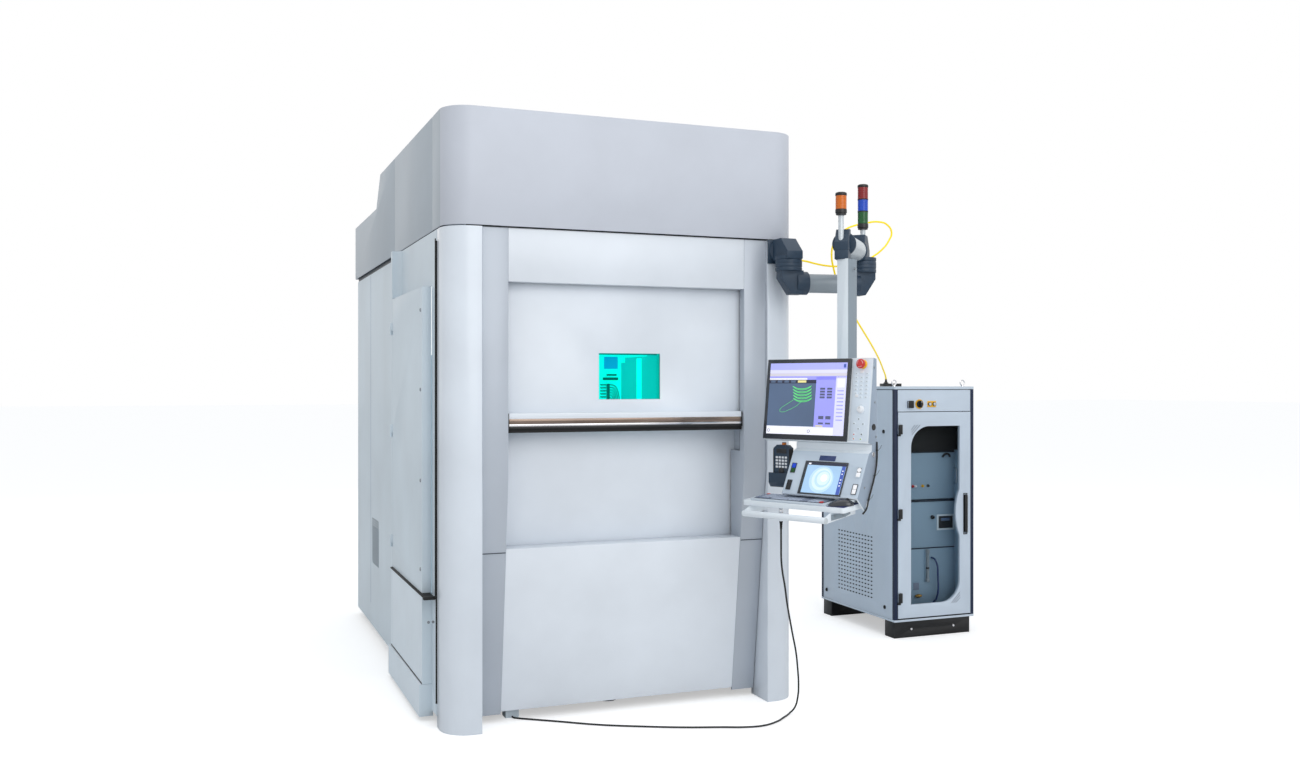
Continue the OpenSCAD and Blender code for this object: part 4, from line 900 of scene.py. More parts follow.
@dataclass
class Studio:
    """Floor, backdrop, lamps and camera around the cell."""

    eye: Point = (-1.813, -6.241, 1.474)
    heading: float = -21.5
    lens: float = 32.26
    rise: float = -0.0046
    floor_size: float = 160.0
    floor_tone: float = 0.80
    floor_lift: float = 0.47
    sky_color: tuple[float, float, float, float] = (0.95, 0.975, 1.0, 1.0)
    sky_light: float = 0.66
    sky_slope: float = -0.06

    def build(self) -> None:
        """Makes the camera, the floor, the white surroundings and the lamps."""
        self.camera()
        self.floor()
        self.surroundings()
        self.lamps()
        bpy.context.scene.view_settings.view_transform = "Standard"

    def camera(self) -> None:
        """Sets the camera where the cell is seen from its front left."""
        lens = bpy.data.cameras.new("view")
        lens.lens = self.lens
        lens.sensor_width = 36.0
        lens.shift_y = self.rise
        lens.clip_end = 400.0
        camera = Bench.linked("view", lens)
        camera.location = self.eye
        camera.rotation_euler = (math.radians(90.0), 0.0, math.radians(self.heading))
        bpy.context.scene.camera = camera

    def floor(self) -> None:
        """Lays a pale floor that looks white to the camera and keeps shadows."""
        Bench.clear()
        bpy.ops.mesh.primitive_plane_add(size=self.floor_size, location=(0.0, 0.0, 0.0))
        plane = bpy.context.object
        plane.name = "floor"
        mat = bpy.data.materials.new("floor")
        mat.use_nodes = True
        tree = mat.node_tree
        shader = tree.nodes["Principled BSDF"]
        wire(tree, shader, {"Base Color": (*[self.floor_tone] * 3, 1.0), "Roughness": 0.9,
                            "Specular IOR Level": 0.0})
        plain = shader.outputs["BSDF"]
        glow = shade(tree, "Emission", {"Strength": self.floor_lift})
        both = shade(tree, "AddShader", {0: plain, 1: glow.outputs["Emission"]})
        rays = shade(tree, "LightPath", {})
        seen = shade(tree, "MixShader", {"Fac": rays.outputs["Is Camera Ray"], 1: plain,
                                         2: both.outputs["Shader"]})
        wire(tree, tree.nodes["Material Output"], {"Surface": seen.outputs["Shader"]})
        plane.data.materials.append(mat)

    def surroundings(self) -> None:
        """Makes the world white to the eye and soft as a light."""
        world = bpy.data.worlds.new("surroundings")
        bpy.context.scene.world = world
        world.use_nodes = True
        tree = world.node_tree
        back = tree.nodes["Background"]
        aim = shade(tree, "TexCoord", {})
        split = shade(tree, "SeparateXYZ", {"Vector": aim.outputs["Generated"]})
        slope = shade(tree, "MapRange", {
            "From Min": -1.0, "To Min": self.sky_light - self.sky_slope,
            "To Max": self.sky_light + self.sky_slope, "Value": split.outputs["X"]})
        wire(tree, back, {"Color": self.sky_color, "Strength": slope.outputs["Result"]})
        white = shade(tree, "Background", {"Color": (1.0, 1.0, 1.0, 1.0), "Strength": 1.0})
        rays = shade(tree, "LightPath", {})
        mirror = shade(tree, "Math", {0: rays.outputs["Is Glossy Ray"],
                                      1: rays.outputs["Is Transmission Ray"]}, "MAXIMUM")
        seen = shade(tree, "Math", {0: rays.outputs["Is Camera Ray"],
                                    1: mirror.outputs["Value"]}, "MAXIMUM")
        mix = shade(tree, "MixShader", {"Fac": seen.outputs["Value"],
                                        1: back.outputs["Background"],
                                        2: white.outputs["Background"]})
        wire(tree, tree.nodes["World Output"], {"Surface": mix.outputs["Shader"]})

    def lamps(self) -> None:
        """Hangs a wide soft lamp in front of the cell and weaker ones beside it."""
        for name, spot, aim, size, power in (
                ("front", (0.8, -9.0, 5.2), (0.2, 0.0, 1.6), 7.0, 230.0),
                ("above", (0.5, -1.5, 8.0), (0.5, 0.0, 0.0), 7.0, 90.0),
                ("rear", (1.5, 9.0, 4.0), (0.0, 0.0, 1.0), 6.0, 80.0)):
            light = bpy.data.lights.new(name, "AREA")
            light.shape = "DISK"
            light.size = size
            light.energy = power
            lamp = Bench.linked(name, light)
            lamp.location = spot
            lamp.rotation_euler = (Vector(aim) - Vector(spot)).to_track_quat("-Z", "Y").to_euler()


class Place:
    """Frames that the sloping and turned parts are drawn in."""

    POST = Matrix.Translation((0.82974, -1.85997, 0.0)) @ Matrix.Rotation(
        math.radians(-64.5), 4, "Z")
    SCREEN = POST @ Matrix.Translation((0.0, -0.262, 1.237)) @ Matrix.Rotation(
        math.radians(83.35), 4, "X")
    DESK = POST @ Matrix.Translation((0.0, -0.341, 1.019)) @ Matrix.Rotation(
        math.radians(64.1), 4, "X")
    TRAY = POST @ Matrix.Translation((0.0, -0.400, 0.984)) @ Matrix.Rotation(
        math.radians(5.0), 4, "X")
    ARM = Matrix.Translation((0.726, -1.524, 0.0)) @ Matrix.Rotation(math.radians(-8.7), 4, "Z")
    FAR = Matrix.Translation((1.08383, -1.57876, 0.0)) @ Matrix.Rotation(
        math.radians(-132.1), 4, "Z")
    CABINET = Matrix.Translation((1.966, -0.5, 0.0))
    FRONT = Matrix.Rotation(math.radians(90.0), 4, "X")

    @staticmethod
    def panel(x: float, y: float, z: float) -> Matrix:
        """Gives the frame of a fitting on the source cabinet, with Z out of its front."""
        return Place.CABINET @ Matrix.Translation((x, y, z)) @ Place.FRONT


@dataclass
class Cords(Assembly):
    """The laser light cable to the source cabinet and the console's lead."""

    fibre_d: float = 0.009
    fibre_route: Sequence[Point] = (
        (0.8463, -1.280, 2.064), (0.890, -1.280, 2.070), (0.950, -1.276, 2.068),
        (1.010, -1.272, 2.058), (1.070, -1.270, 2.051), (1.130, -1.270, 2.050),
        (1.200, -1.272, 2.057), (1.262, -1.280, 2.074), (1.318, -1.290, 2.102),
        (1.368, -1.300, 2.140), (1.405, -1.300, 2.183), (1.422, -1.300, 2.228),
        (1.395, -1.300, 2.264), (1.342, -1.300, 2.275), (1.282, -1.303, 2.267),
        (1.216, -1.310, 2.252), (1.152, -1.320, 2.228), (1.100, -1.328, 2.190),
        (1.071, -1.330, 2.142), (1.064, -1.330, 2.090), (1.078, -1.326, 2.030),
        (1.112, -1.308, 1.960), (1.185, -1.250, 1.888), (1.282, -1.168, 1.824),
        (1.400, -1.058, 1.760), (1.556, -0.900, 1.687), (1.733, -0.700, 1.613),
        (1.919, -0.457, 1.554), (1.976, -0.386, 1.530), (1.995, -0.361, 1.521),
        (2.004, -0.350, 1.513), (2.012, -0.340, 1.500), (2.012, -0.340, 1.4843))
    lead_d: float = 0.008
    lead_top: Sequence[Point] = (
        (0.4956, -1.8842, 0.8977), (0.4956, -1.8842, 0.860), (0.497, -1.882, 0.800),
        (0.502, -1.874, 0.735), (0.516, -1.858, 0.680), (0.540, -1.834, 0.615),
        (0.567, -1.804, 0.534), (0.600, -1.768, 0.455))
    lead_foot: Sequence[Point] = (
        (0.600, -1.768, 0.455), (0.634, -1.732, 0.375), (0.668, -1.697, 0.296),
        (0.698, -1.660, 0.204), (0.713, -1.640, 0.130), (0.716, -1.628, 0.075),
        (0.704, -1.624, 0.028), (0.671, -1.636, 0.0075), (0.620, -1.678, 0.005),
        (0.560, -1.725, 0.005), (0.474, -1.758, 0.005), (0.400, -1.750, 0.005),
        (0.300, -1.712, 0.005), (0.150, -1.656, 0.005), (-0.013, -1.578, 0.005),
        (-0.173, -1.489, 0.005), (-0.323, -1.377, 0.005), (-0.430, -1.298, 0.005),
        (-0.477, -1.262, 0.005), (-0.493, -1.244, 0.005), (-0.493, -1.2303, 0.005))

    def build(self) -> None:
        """Lays both cords and sets their sleeves."""
        self.fibre()
        self.lead()
        self.sleeves()

    def fibre(self) -> None:
        """Lays the yellow light cable with its open loop behind the arm."""
        tube = Bench.hose("light_cable", self.fibre_route, self.fibre_d / 2, 10)
        path = Bench.centreline(self.fibre_route, 10)
        # The jacket's glow is painted light.
        self.fit(tube, FIBRE_GLOW, "fibre_jacket", stands_for=["fibre"])
        Bench.reach(path)

    def lead(self) -> None:
        """Hangs the console's black lead, which follows the arm at its upper part."""
        for name, route, upper, lower in (("lead_upper", self.lead_top, "carrier", "arm"),
                                          ("lead_lower", self.lead_foot, "arm", "cell")):
            tube = Bench.hose(name, route, self.lead_d / 2, 8)
            path = Bench.centreline(route, 8)
            Bench.dressed(tube, LEAD)
            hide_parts("lead")
            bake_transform(tube)
            Bench.reach(path)
            LOG.info("Cords: %s between %s and %s", name, upper, lower)

    def sleeves(self) -> None:
        """Sets a tapered sleeve where each cord leaves or meets a housing."""
        for name, spot, turn, radius, length, body in (
                ("light_cable_sleeve", self.fibre_route[0], (0.0, math.radians(82.0), 0.0),
                 self.fibre_d / 2, 0.045, "cell"),
                ("light_cable_foot_sleeve", self.fibre_route[-1], (0.0, 0.0, 0.0),
                 self.fibre_d / 2, 0.022, "cell"),
                ("lead_sleeve", (0.4956, -1.8842, 0.8977), (math.pi, 0.0, 0.0),
                 self.lead_d / 2, 0.034, "carrier")):
            at = Matrix.Translation(spot)
            for axis, angle in zip("XYZ", turn):
                at = at @ Matrix.Rotation(angle, 4, axis)
            wide, slim = radius * 1.9, radius * 1.18
            outline = [(wide, 0.0003), (wide, length * 0.14), (wide * 0.86, length * 0.16),
                       (wide * 0.86, length * 0.26), (wide * 0.80, length * 0.28)]
            for step in range(4):
                share = 0.34 + step * 0.15
                r = wide * 0.8 + (slim - wide * 0.8) * (share - 0.28) / 0.72
                outline += [(r, length * share), (r * 0.9, length * (share + 0.03)),
                            (r * 0.9, length * (share + 0.06)), (r, length * (share + 0.09))]
            outline.append((slim, length))
            self.lathe(name, outline, at, 24, RUBBER, "rubber", body)


@dataclass
class CellCovers(Assembly):
    """Columns, pilasters, hood and panels that close the cell."""

    half: float = 0.830
    rear_half: float = 0.814
    corner: float = 0.09
    front: float = -1.420
    rear: float = 1.420
    hood_foot: float = 2.145
    hood_top: float = 2.645
    strip_z: float = 0.750
    sill_z: float = 0.556
    ground_gap: float = 0.046
    block_x: tuple[float, float] = (-0.524, -0.462)
    block_y: float = -1.0
    slat_pitch: float = 0.014
    outlet_y: float = 0.9675
    outlet_z: float = 2.473

    def build(self) -> None:
        """Rounds the covers' edges and adds their joints, screws, locks and vents."""
        self.cover("front_columns", COLUMN, "column_white", 0.0012)
        self.cover("pilasters", SILVER, "silver", 0.0010)
        self.cover("header_panel", WHITE, "white", 0.0016)
        self.cover("lower_front_panel", WHITE, "white", 0.0022)
        for node in ("hood_front", "hood_middle", "hood_rear"):
            cover = self.cover(node, HOOD, "hood", 0.0018)
            # Painted shade: the hood's outer side faces take the darker hood finish.
            Bench.tinted(cover, HOOD_SIDE_SHADE,
                         lambda middle, normal: abs(normal.x) > 0.9
                         and abs(middle.x) > self.half - 0.001)
        # The partition wall's glow is painted light.
        for node, finish in (("left_side_panel", SIDE), ("right_side_panel", SIDE),
                             ("rear_side_panels", SIDE), ("rear_wall", SIDE),
                             ("door_guides", SILVER), ("frame_posts", FRAME_GREY),
                             ("base_frame", FRAME_GREY), ("partition_wall", LIT_WALL),
                             ("switch_cabinet", SIDE), ("lamp_bar", LAMP)):
            self.paint(node, finish)
        # Painted light: the left panel's outward faces below the sill take the lighter side grey.
        Bench.tinted(bpy.data.objects["left_side_panel"], LOW_SIDE_LIGHT,
                     lambda middle, normal: normal.x < -0.9 and middle.z < self.sill_z)
        Bench.tinted(bpy.data.objects["base_frame"], SIDE,
                     lambda middle, normal: middle.z < self.ground_gap
                     and self.block_x[0] < middle.x < self.block_x[1]
                     and middle.y < self.block_y)
        self.side_vents()
        self.joints()
        self.left_unit_trim()
        self.rear_doors()
        self.right_doors()
        self.roof()

    def joints(self) -> None:
        """Adds painted shadow strips in the pilaster joints and under the hood's front foot, and
        the front's screws.
        """
        # Painted shadow: a dark strip in each pilaster joint.
        for side, name in ((-1.0, "left"), (1.0, "right")):
            x = sorted((side * 0.5585, side * 0.6675))
            self.bars(f"pilaster_joint_{name}", [((x[0], -1.3702, self.strip_z - 0.0015),
                                                  (x[1], -1.3672, self.strip_z + 0.0015))],
                      0.0005, GAP_SHADE, "rubber")
        self.screws("column_screws", [(-0.700, self.front + 0.0002, 1.040)], 0.007, "-Y")
        side = self.half - self.corner
        # Painted shadow: a black strip under the hood's front foot.
        self.bars("hood_foot_shadow", [((-side, self.front + 0.006, self.hood_foot - 0.0048),
                                 (side, self.front + 0.02, self.hood_foot - 0.0002))],
                  0.001, RUBBER, "rubber")

    def side_vents(self) -> None:
        """Shades the vents and the seams of the long side panels."""
        rows = [(side * (self.rear_half + 0.0004), 0.656, 0.428 + self.slat_pitch * row)
                for row in range(19) for side in (-1.0, 1.0)]
        self.array("side_vents", ((-0.0007, -0.126, -0.0030), (0.0007, 0.126, 0.0030)), 0.0004,
                   rows, VENT_GREY, "rubber")
        self.bars("side_seams", [((side * self.rear_half - 0.0008, 0.8445, 0.17),
                                  (side * self.rear_half + 0.0008, 0.8475, 2.12))
                                 for side in (-1.0, 1.0)], 0.0004, SEAM_GREY, "rubber")

    def left_unit_trim(self) -> None:
        """Adds the sill seal, painted shadow strips in the gaps beside the service door and the
        post, a painted highlight and a painted shadow on the plinth's edge, and the sill's screws.
        """
        seal = Bench.block("sill_seal", (-0.8855, -1.236, 0.5525), (-0.838, -0.34, 0.5595), 0.002)
        end = Bench.block("sill_seal", (-0.8865, -1.2435, 0.546), (-0.834, -1.216, 0.5600), 0.004)
        self.fit(Bench.merged([seal, end], "sill_seal"), RUBBER, "rubber")
        # Painted shadow: black strips in the gaps beside the door's front edge and the post.
        edge = Bench.block("door_edge_gap_shadow", (-0.8385, -1.2432, 0.56), (-0.8335, -1.2405, 2.10),
                           0.001)
        gap = Bench.block("post_gap_shadow", (-0.8355, -1.2495, 0.10), (-0.8296, -1.2440, 2.09),
                          0.0005)
        self.fit(Bench.merged([edge, gap], "door_gap_shadows"), RUBBER, "rubber")
        # Painted highlight: a white strip on the plinth's top edge, with a painted shadow strip
        # behind it.
        self.bars("plinth_edge_highlight", [((-0.8866, -1.1400, 0.1600), (-0.8760, -0.300, 0.1622))],
                  0.0008, WHITE, "white")
        self.bars("plinth_shade", [((-0.8752, -1.1360, 0.1606), (-0.8738, -0.300, 0.1666))],
                  0.0004, BLACK, "rubber")
        self.screws("sill_screws", [(x, -1.2441, 0.452) for x in (-0.866, -0.846)], 0.006, "-Y")

    def rear_doors(self) -> None:
        """Adds the rear wall's four service leaves with their locks and a vent."""
        self.bars("rear_leaves", [((x0, self.rear, z0), (x1, self.rear + 0.007, z1))
                                  for z0, z1 in ((0.10, 1.18), (1.19, 2.10))
                                  for x0, x1 in ((-0.79, -0.005), (0.005, 0.79))],
                  0.003, SIDE, "side_grey")
        self.screws("rear_locks", [(x, self.rear + 0.0068, z) for x in (-0.035, 0.035)
                                   for z in (0.35, 0.95, 1.40, 1.95)], 0.012, "Y")
        # Painted shade: dark slats stand for the shade inside the vent's openings.
        rows = [(x, self.rear + 0.0066, 0.30 + self.slat_pitch * row) for row in range(12)
                for x in (-0.4, 0.4)]
        self.array("rear_vent", ((-0.15, 0.0, -0.002), (0.15, 0.006, 0.002)), 0.0015, rows,
                   GAP_SHADE, "rubber")

    def right_doors(self) -> None:
        """Adds the right side's door leaf with its locks, and a vent."""
        self.bars("right_leaf", [((self.half, -1.16, 0.10), (self.half + 0.006, -0.34, 1.86))],
                  0.003, SIDE, "side_grey")
        self.screws("right_locks", [(self.half + 0.0058, y, z) for y in (-1.13, -0.37)
                                    for z in (0.30, 1.00, 1.70)], 0.011, "X")
        # Painted shade: dark slats stand for the shade inside the vent's openings.
        rows = [(self.half + 0.0006, 1.02, 0.42 + self.slat_pitch * row) for row in range(20)]
        self.array("right_vent", ((0.0, -0.11, -0.002), (0.005, 0.11, 0.002)), 0.0015, rows,
                   GAP_SHADE, "rubber")

    def roof(self) -> None:
        """Adds the outlet's clamp and the roof's round plugs."""
        collar = Bench.hoop("outlet_clamp", (0.0, self.outlet_y, self.outlet_z + 0.045), 0.1075,
                            0.0035)
        self.fit(collar, SCREW, "bright")
        plugs = [Bench.disc("roof_plug", (x, y, self.hood_top + 0.002), 0.02, 0.006)
                 for x in (-0.70, 0.70) for y in (-1.30, -0.20)]
        self.fit(Bench.merged(plugs, "roof_plugs"), BLACK, "rubber")


@dataclass
class LiftDoors(Assembly):
    """The two door wings, the laser window, the grip rail and its seal."""

    glass_x: tuple[float, float] = (-0.130, 0.162)
    glass_z: tuple[float, float] = (1.406, 1.611)
    face_y: float = -1.350

    def build(self) -> None:
        """Dresses the wings and trims the window and the grip rail."""
        self.cover("upper_wing", WHITE, "white", 0.0016, body="upper_door")
        self.cover("lower_wing", WHITE, "white", 0.0016, body="lower_door")
        # The window's glow is painted light.
        self.paint("safety_window", LASER_GLASS_GLOW)
        self.cover("grip_rail", CHROME, "bright", 0.0012, body="upper_door")
        self.paint("edge_seal", RUBBER)
        self.rail()
        self.window_gasket()

    def rail(self) -> None:
        """Adds the rail's bright lip, its grip strip coloured as a painted reflection, a dark shade
        strip and end caps.
        """
        half, face = 0.5496, -1.3934
        for name, foot, top, finish, slot in (
                ("grip_shoulder", 1.3245, 1.3484, WHITE, "white"),
                ("grip_strip", 1.3020, 1.3238, GRIP_REFLECTION, "bright"),
                ("grip_lip", 1.2915, 1.3012, CHROME, "bright"),
                ("grip_shade", 1.2802, 1.2908, BLACK, "rubber")):
            self.bars(name, [((-half, face, foot), (half, -1.352, top))], 0.0018, finish, slot,
                      "upper_door")
        self.bars("grip_caps", [((x, -1.3928, 1.2802), (x + 0.006, -1.3505, 1.3478))
                                for x in (-0.5556, half)], 0.0015, BLACK, "rubber",
                  "upper_door")

    def window_gasket(self) -> None:
        """Adds the thin gasket round the laser window."""
        x, z = self.glass_x, self.glass_z
        y = (self.face_y - 0.0006, self.face_y + 0.004)
        w = 0.0016
        bars = [((x[0] - w, z[0] - w), (x[1] + w, z[0])), ((x[0] - w, z[1]), (x[1] + w, z[1] + w)),
                ((x[0] - w, z[0]), (x[0], z[1])), ((x[1], z[0]), (x[1] + w, z[1]))]
        self.bars("window_gasket", [((a[0], y[0], a[1]), (b[0], y[1], b[1])) for a, b in bars],
                  0.0005, SIDE, "side_grey", "upper_door")


@dataclass
class ServiceDoor(Assembly):
    """The swing door in the left side, with its fasteners."""

    body = "service_door"
    face_x: float = -0.874

    def build(self) -> None:
        """Dresses the door and adds what is fixed to it."""
        self.cover("side_door", SIDE, "side_grey", 0.0016)
        low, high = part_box("side_door")
        LOG.info("ServiceDoor: leaf from %.3f to %.3f", low.z, high.z)
        self.screws("door_fasteners", [(self.face_x, low.y + 0.032, z)
                                       for z in (0.66, 1.05, 1.45, 1.80)], 0.008, "-X")


@dataclass
class MotionUnit(Assembly):
    """Bed, table and the three axes behind the doors."""

    rail_x: float = 0.560
    wall_y: float = 0.3
    head_y: float = -0.6716

    def build(self) -> None:
        """Dresses the bed and the axes and adds guides, nozzle and what the window shows."""
        self.paint("machine_bed", IRON)
        self.cover("work_table", STEEL, "steel", 0.0015)
        # Painted light: the axis rails glow.
        self.paint("axis_rails", LIT_SLATE)
        self.cover("y_bridge", SLATE, "slate", 0.006, 3, "bridge")
        self.cover("x_carriage", SLATE, "slate", 0.006, 3, "carriage")
        self.cover("z_ram", WHITE, "white", 0.003, 2, "ram")
        self.guides()
        self.head()
        self.back_fittings()

    def guides(self) -> None:
        """Adds the bridge's ground guide rails and the cover band between them."""
        self.bars("x_guides", [((-0.62, -0.5635, z - 0.012), (0.62, -0.558, z + 0.012))
                               for z in (1.68, 1.78)], 0.002, STEEL, "steel", "bridge")
        self.bars("x_cover_band", [((-0.62, -0.5600, 1.70), (0.62, -0.5580, 1.76))], 0.0008,
                  RUBBER, "rubber", "bridge")

    def head(self) -> None:
        """Adds the laser head's nozzle and collar."""
        low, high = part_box("z_ram")
        x = (low.x + high.x) / 2
        self.lathe("nozzle", [(0.0035, 0.0005), (0.0065, 0.012), (0.0135, 0.026),
                              (0.0135, 0.030)], Matrix.Translation((x, self.head_y, low.z)), 24,
                   BRASS, "bright", "ram")
        collar = Bench.hoop("head_collar", (x, self.head_y, low.z + 0.16), 0.034, 0.004)
        self.fit(collar, CHROME, "bright", "ram")

    def back_fittings(self) -> None:
        """Adds the plate, valve block and hoses on the partition that the window shows."""
        y, edge = self.wall_y, 0.002
        # Painted light: the partition plate glows.
        self.bars("partition_plate", [((0.469, y - 0.004, 1.564), (0.556, y, 1.636))], edge,
                  VALVE_GLOW, "navy")
        self.bars("valve_bars", [((0.461, y - 0.012, 1.497), (0.556, y, 1.513)),
                                 ((0.485, y - 0.010, 1.523), (0.547, y, 1.533)),
                                 ((0.484, y - 0.030, 1.380), (0.496, y, 1.476))], edge,
                  BLACK, "dark_iron")
        # Painted light: the valve fins glow teal.
        self.bars("valve_fins", [((0.445, y - 0.012, z), (0.480, y, z + 0.009))
                                 for z in (1.375, 1.393, 1.411, 1.429, 1.447, 1.465)], edge,
                  SHADE_TEAL, "dark_iron")
        hoses = []
        for row in range(6):
            z = 1.470 - 0.015 * row
            out = 0.060 - 0.008 * row
            hoses.append(Bench.hose("valve_hose", (
                (0.494, y - 0.016, z), (0.494 + out * 0.5, y - 0.030, z - 0.006),
                (0.494 + out * 0.88, y - 0.034, z - 0.045), (0.494 + out, y - 0.030, 1.340),
                (0.494 + out, y - 0.010, 1.270)), 0.0030, 5))
        self.fit(Bench.merged(hoses, "valve_hoses"), BLACK, "dark_iron")
        # Painted light: the rail strip glows.
        self.bars("rail_strip", [((self.rail_x - 0.006, -0.089, 1.300),
                                  (self.rail_x, -0.021, 1.620))], edge, LIT_WALL, "dark_iron")


@dataclass
class SupportArm(Assembly):
    """The jointed arm that carries the console: housings, elbows, tube and post."""

    drum_axis: tuple[float, float] = (-0.018, 2.085)
    drum_span: tuple[float, float] = (0.080, 0.339)
    drum_radii: tuple[float, float] = (0.030, 0.0485)
    head_foot: float = 2.0125

    def build(self) -> None:
        """Dresses the castings, the tube and the post and adds the cable channel."""
        self.cover("wall_housing", SLATE, "slate", 0.005, 3)
        self.cover("arm_elbows", SLATE, "slate", 0.007, 3, "arm")
        self.paint("arm_tube", TUBE_GREY)
        far = self.cover("far_housing", SLATE, "slate", 0.007, 3, "carrier")
        Bench.tinted(far, DRUM_GREY, self.on_drum)
        self.cover("head_block", SLATE, "slate", 0.005, 3, "carrier")
        post = self.cover("post", POST_GREY, "post_grey", 0.003, 2, "carrier")
        side = Place.POST.to_3x3() @ Vector((1.0, 0.0, 0.0))
        # Painted shade: the post's right-facing faces take the darker grey.
        Bench.tinted(post, POST_DARK_AND_SHADE, lambda middle, normal: normal.dot(side) > 0.8)
        Bench.tinted(post, SLATE, lambda middle, normal: middle.z > self.head_foot)
        self.channel()

    def on_drum(self, middle: Vector, _normal: Vector) -> bool:
        """Tells whether a face lies round the drum between the two flanges."""
        spot = Place.FAR.inverted() @ middle
        out = math.hypot(spot.y - self.drum_axis[0], spot.z - self.drum_axis[1])
        return (self.drum_span[0] < spot.x < self.drum_span[1]
                and self.drum_radii[0] < out < self.drum_radii[1])

    def channel(self) -> None:
        """Adds the post's darker cable channel and its clamp screws."""
        self.bars("post_channel", [((-0.0095, 0.0232, 1.315), (0.0095, 0.0256, 2.0))], 0.001,
                  POST_DARK_AND_SHADE, "post_grey", "carrier", Place.POST)
        screws = [Bench.screw("post_screw", (x, -0.0001, z), 0.0055, axis, Place.POST)
                  for x, axis in ((-0.0402, "-X"), (0.0402, "X")) for z in (1.34, 1.40, 1.97)]
        self.fit(Bench.merged(screws, "post_screws"), SCREW, "bright", "carrier")


@dataclass
class SignalLamps(Assembly):
    """The amber lamp and the three-colour stack on the arm."""

    body = "carrier"
    amber: tuple[float, float] = (0.399, -0.022)
    amber_foot: float = 2.203
    stack_foot: float = 2.158
    radius: float = 0.025
    ribs: int = 6

    def build(self) -> None:
        """Models both lamps: poles, sockets, ribbed lenses and caps."""
        self.sockets()
        self.lenses()

    def sockets(self) -> None:
        """Models the poles, black sockets and caps."""
        r = self.radius
        amber = Place.FAR @ Matrix.Translation((*self.amber, 0.0))
        foot = self.amber_foot
        poles = [Bench.turned("pole", [(0.012, 2.0935), (0.012, foot - 0.002),
                                       (0.0105, foot + 0.001)], amber, 28),
                 Bench.turned("pole", [(0.016, self.stack_foot), (0.016, self.stack_foot + 0.003),
                                       (0.012, self.stack_foot + 0.005), (0.012, 2.1885)],
                              Place.FAR, 28)]
        self.fit(Bench.merged(poles, "lamp_poles"), DRUM_GREY, "bright",
                 stands_for=["beacon_bodies"])
        black = []
        for at, z, height in ((amber, foot, 0.026), (Place.FAR, 2.188, 0.028)):
            black.append(Bench.turned("socket", [
                (r * 0.62, z), (r * 0.9, z + 0.002), (r * 0.9, z + 0.008), (r, z + 0.010),
                (r, z + height - 0.003), (r * 0.96, z + height)], at, 36))
        for at, z, height in ((amber, foot + 0.084, 0.016), (Place.FAR, 2.384, 0.015)):
            black.append(Bench.turned("cap", [
                (r * 0.97, z), (r, z + 0.002), (r, z + height * 0.55), (r * 0.93, z + height * 0.8),
                (r * 0.70, z + height - 0.0006), (r * 0.5, z + height)], at, 36))
        for z in (2.2722, 2.3282):
            black.append(Bench.turned("collar", [(r * 0.985, z - 0.0022), (r * 0.985, z + 0.0022)],
                                      Place.FAR, 36))
        self.fit(Bench.merged(black, "lamp_sockets"), BLACK, "black")

    def lenses(self) -> None:
        """Models the ribbed lenses."""
        amber = Place.FAR @ Matrix.Translation((*self.amber, 0.0))
        foot = self.amber_foot
        stack = [("lens_amber", amber, foot + 0.026, 0.058, AMBER),
                 ("lens_green", Place.FAR, 2.216, 0.054, LENS_GREEN),
                 ("lens_blue", Place.FAR, 2.2744, 0.0516, LENS_BLUE),
                 ("lens_red", Place.FAR, 2.3304, 0.0536, LENS_RED)]
        for index, (name, at, z, height, finish) in enumerate(stack):
            step = height / self.ribs
            outline = [(self.radius * share, z + step * (rib + up)) for rib in range(self.ribs)
                       for share, up in ((0.940, 0.02), (0.955, 0.35), (0.955, 0.65),
                                         (0.940, 0.98))]
            self.lathe(name, outline, at, 36, finish, "beacon",
                       stands_for=["beacon_lenses"] if index == 0 else ())


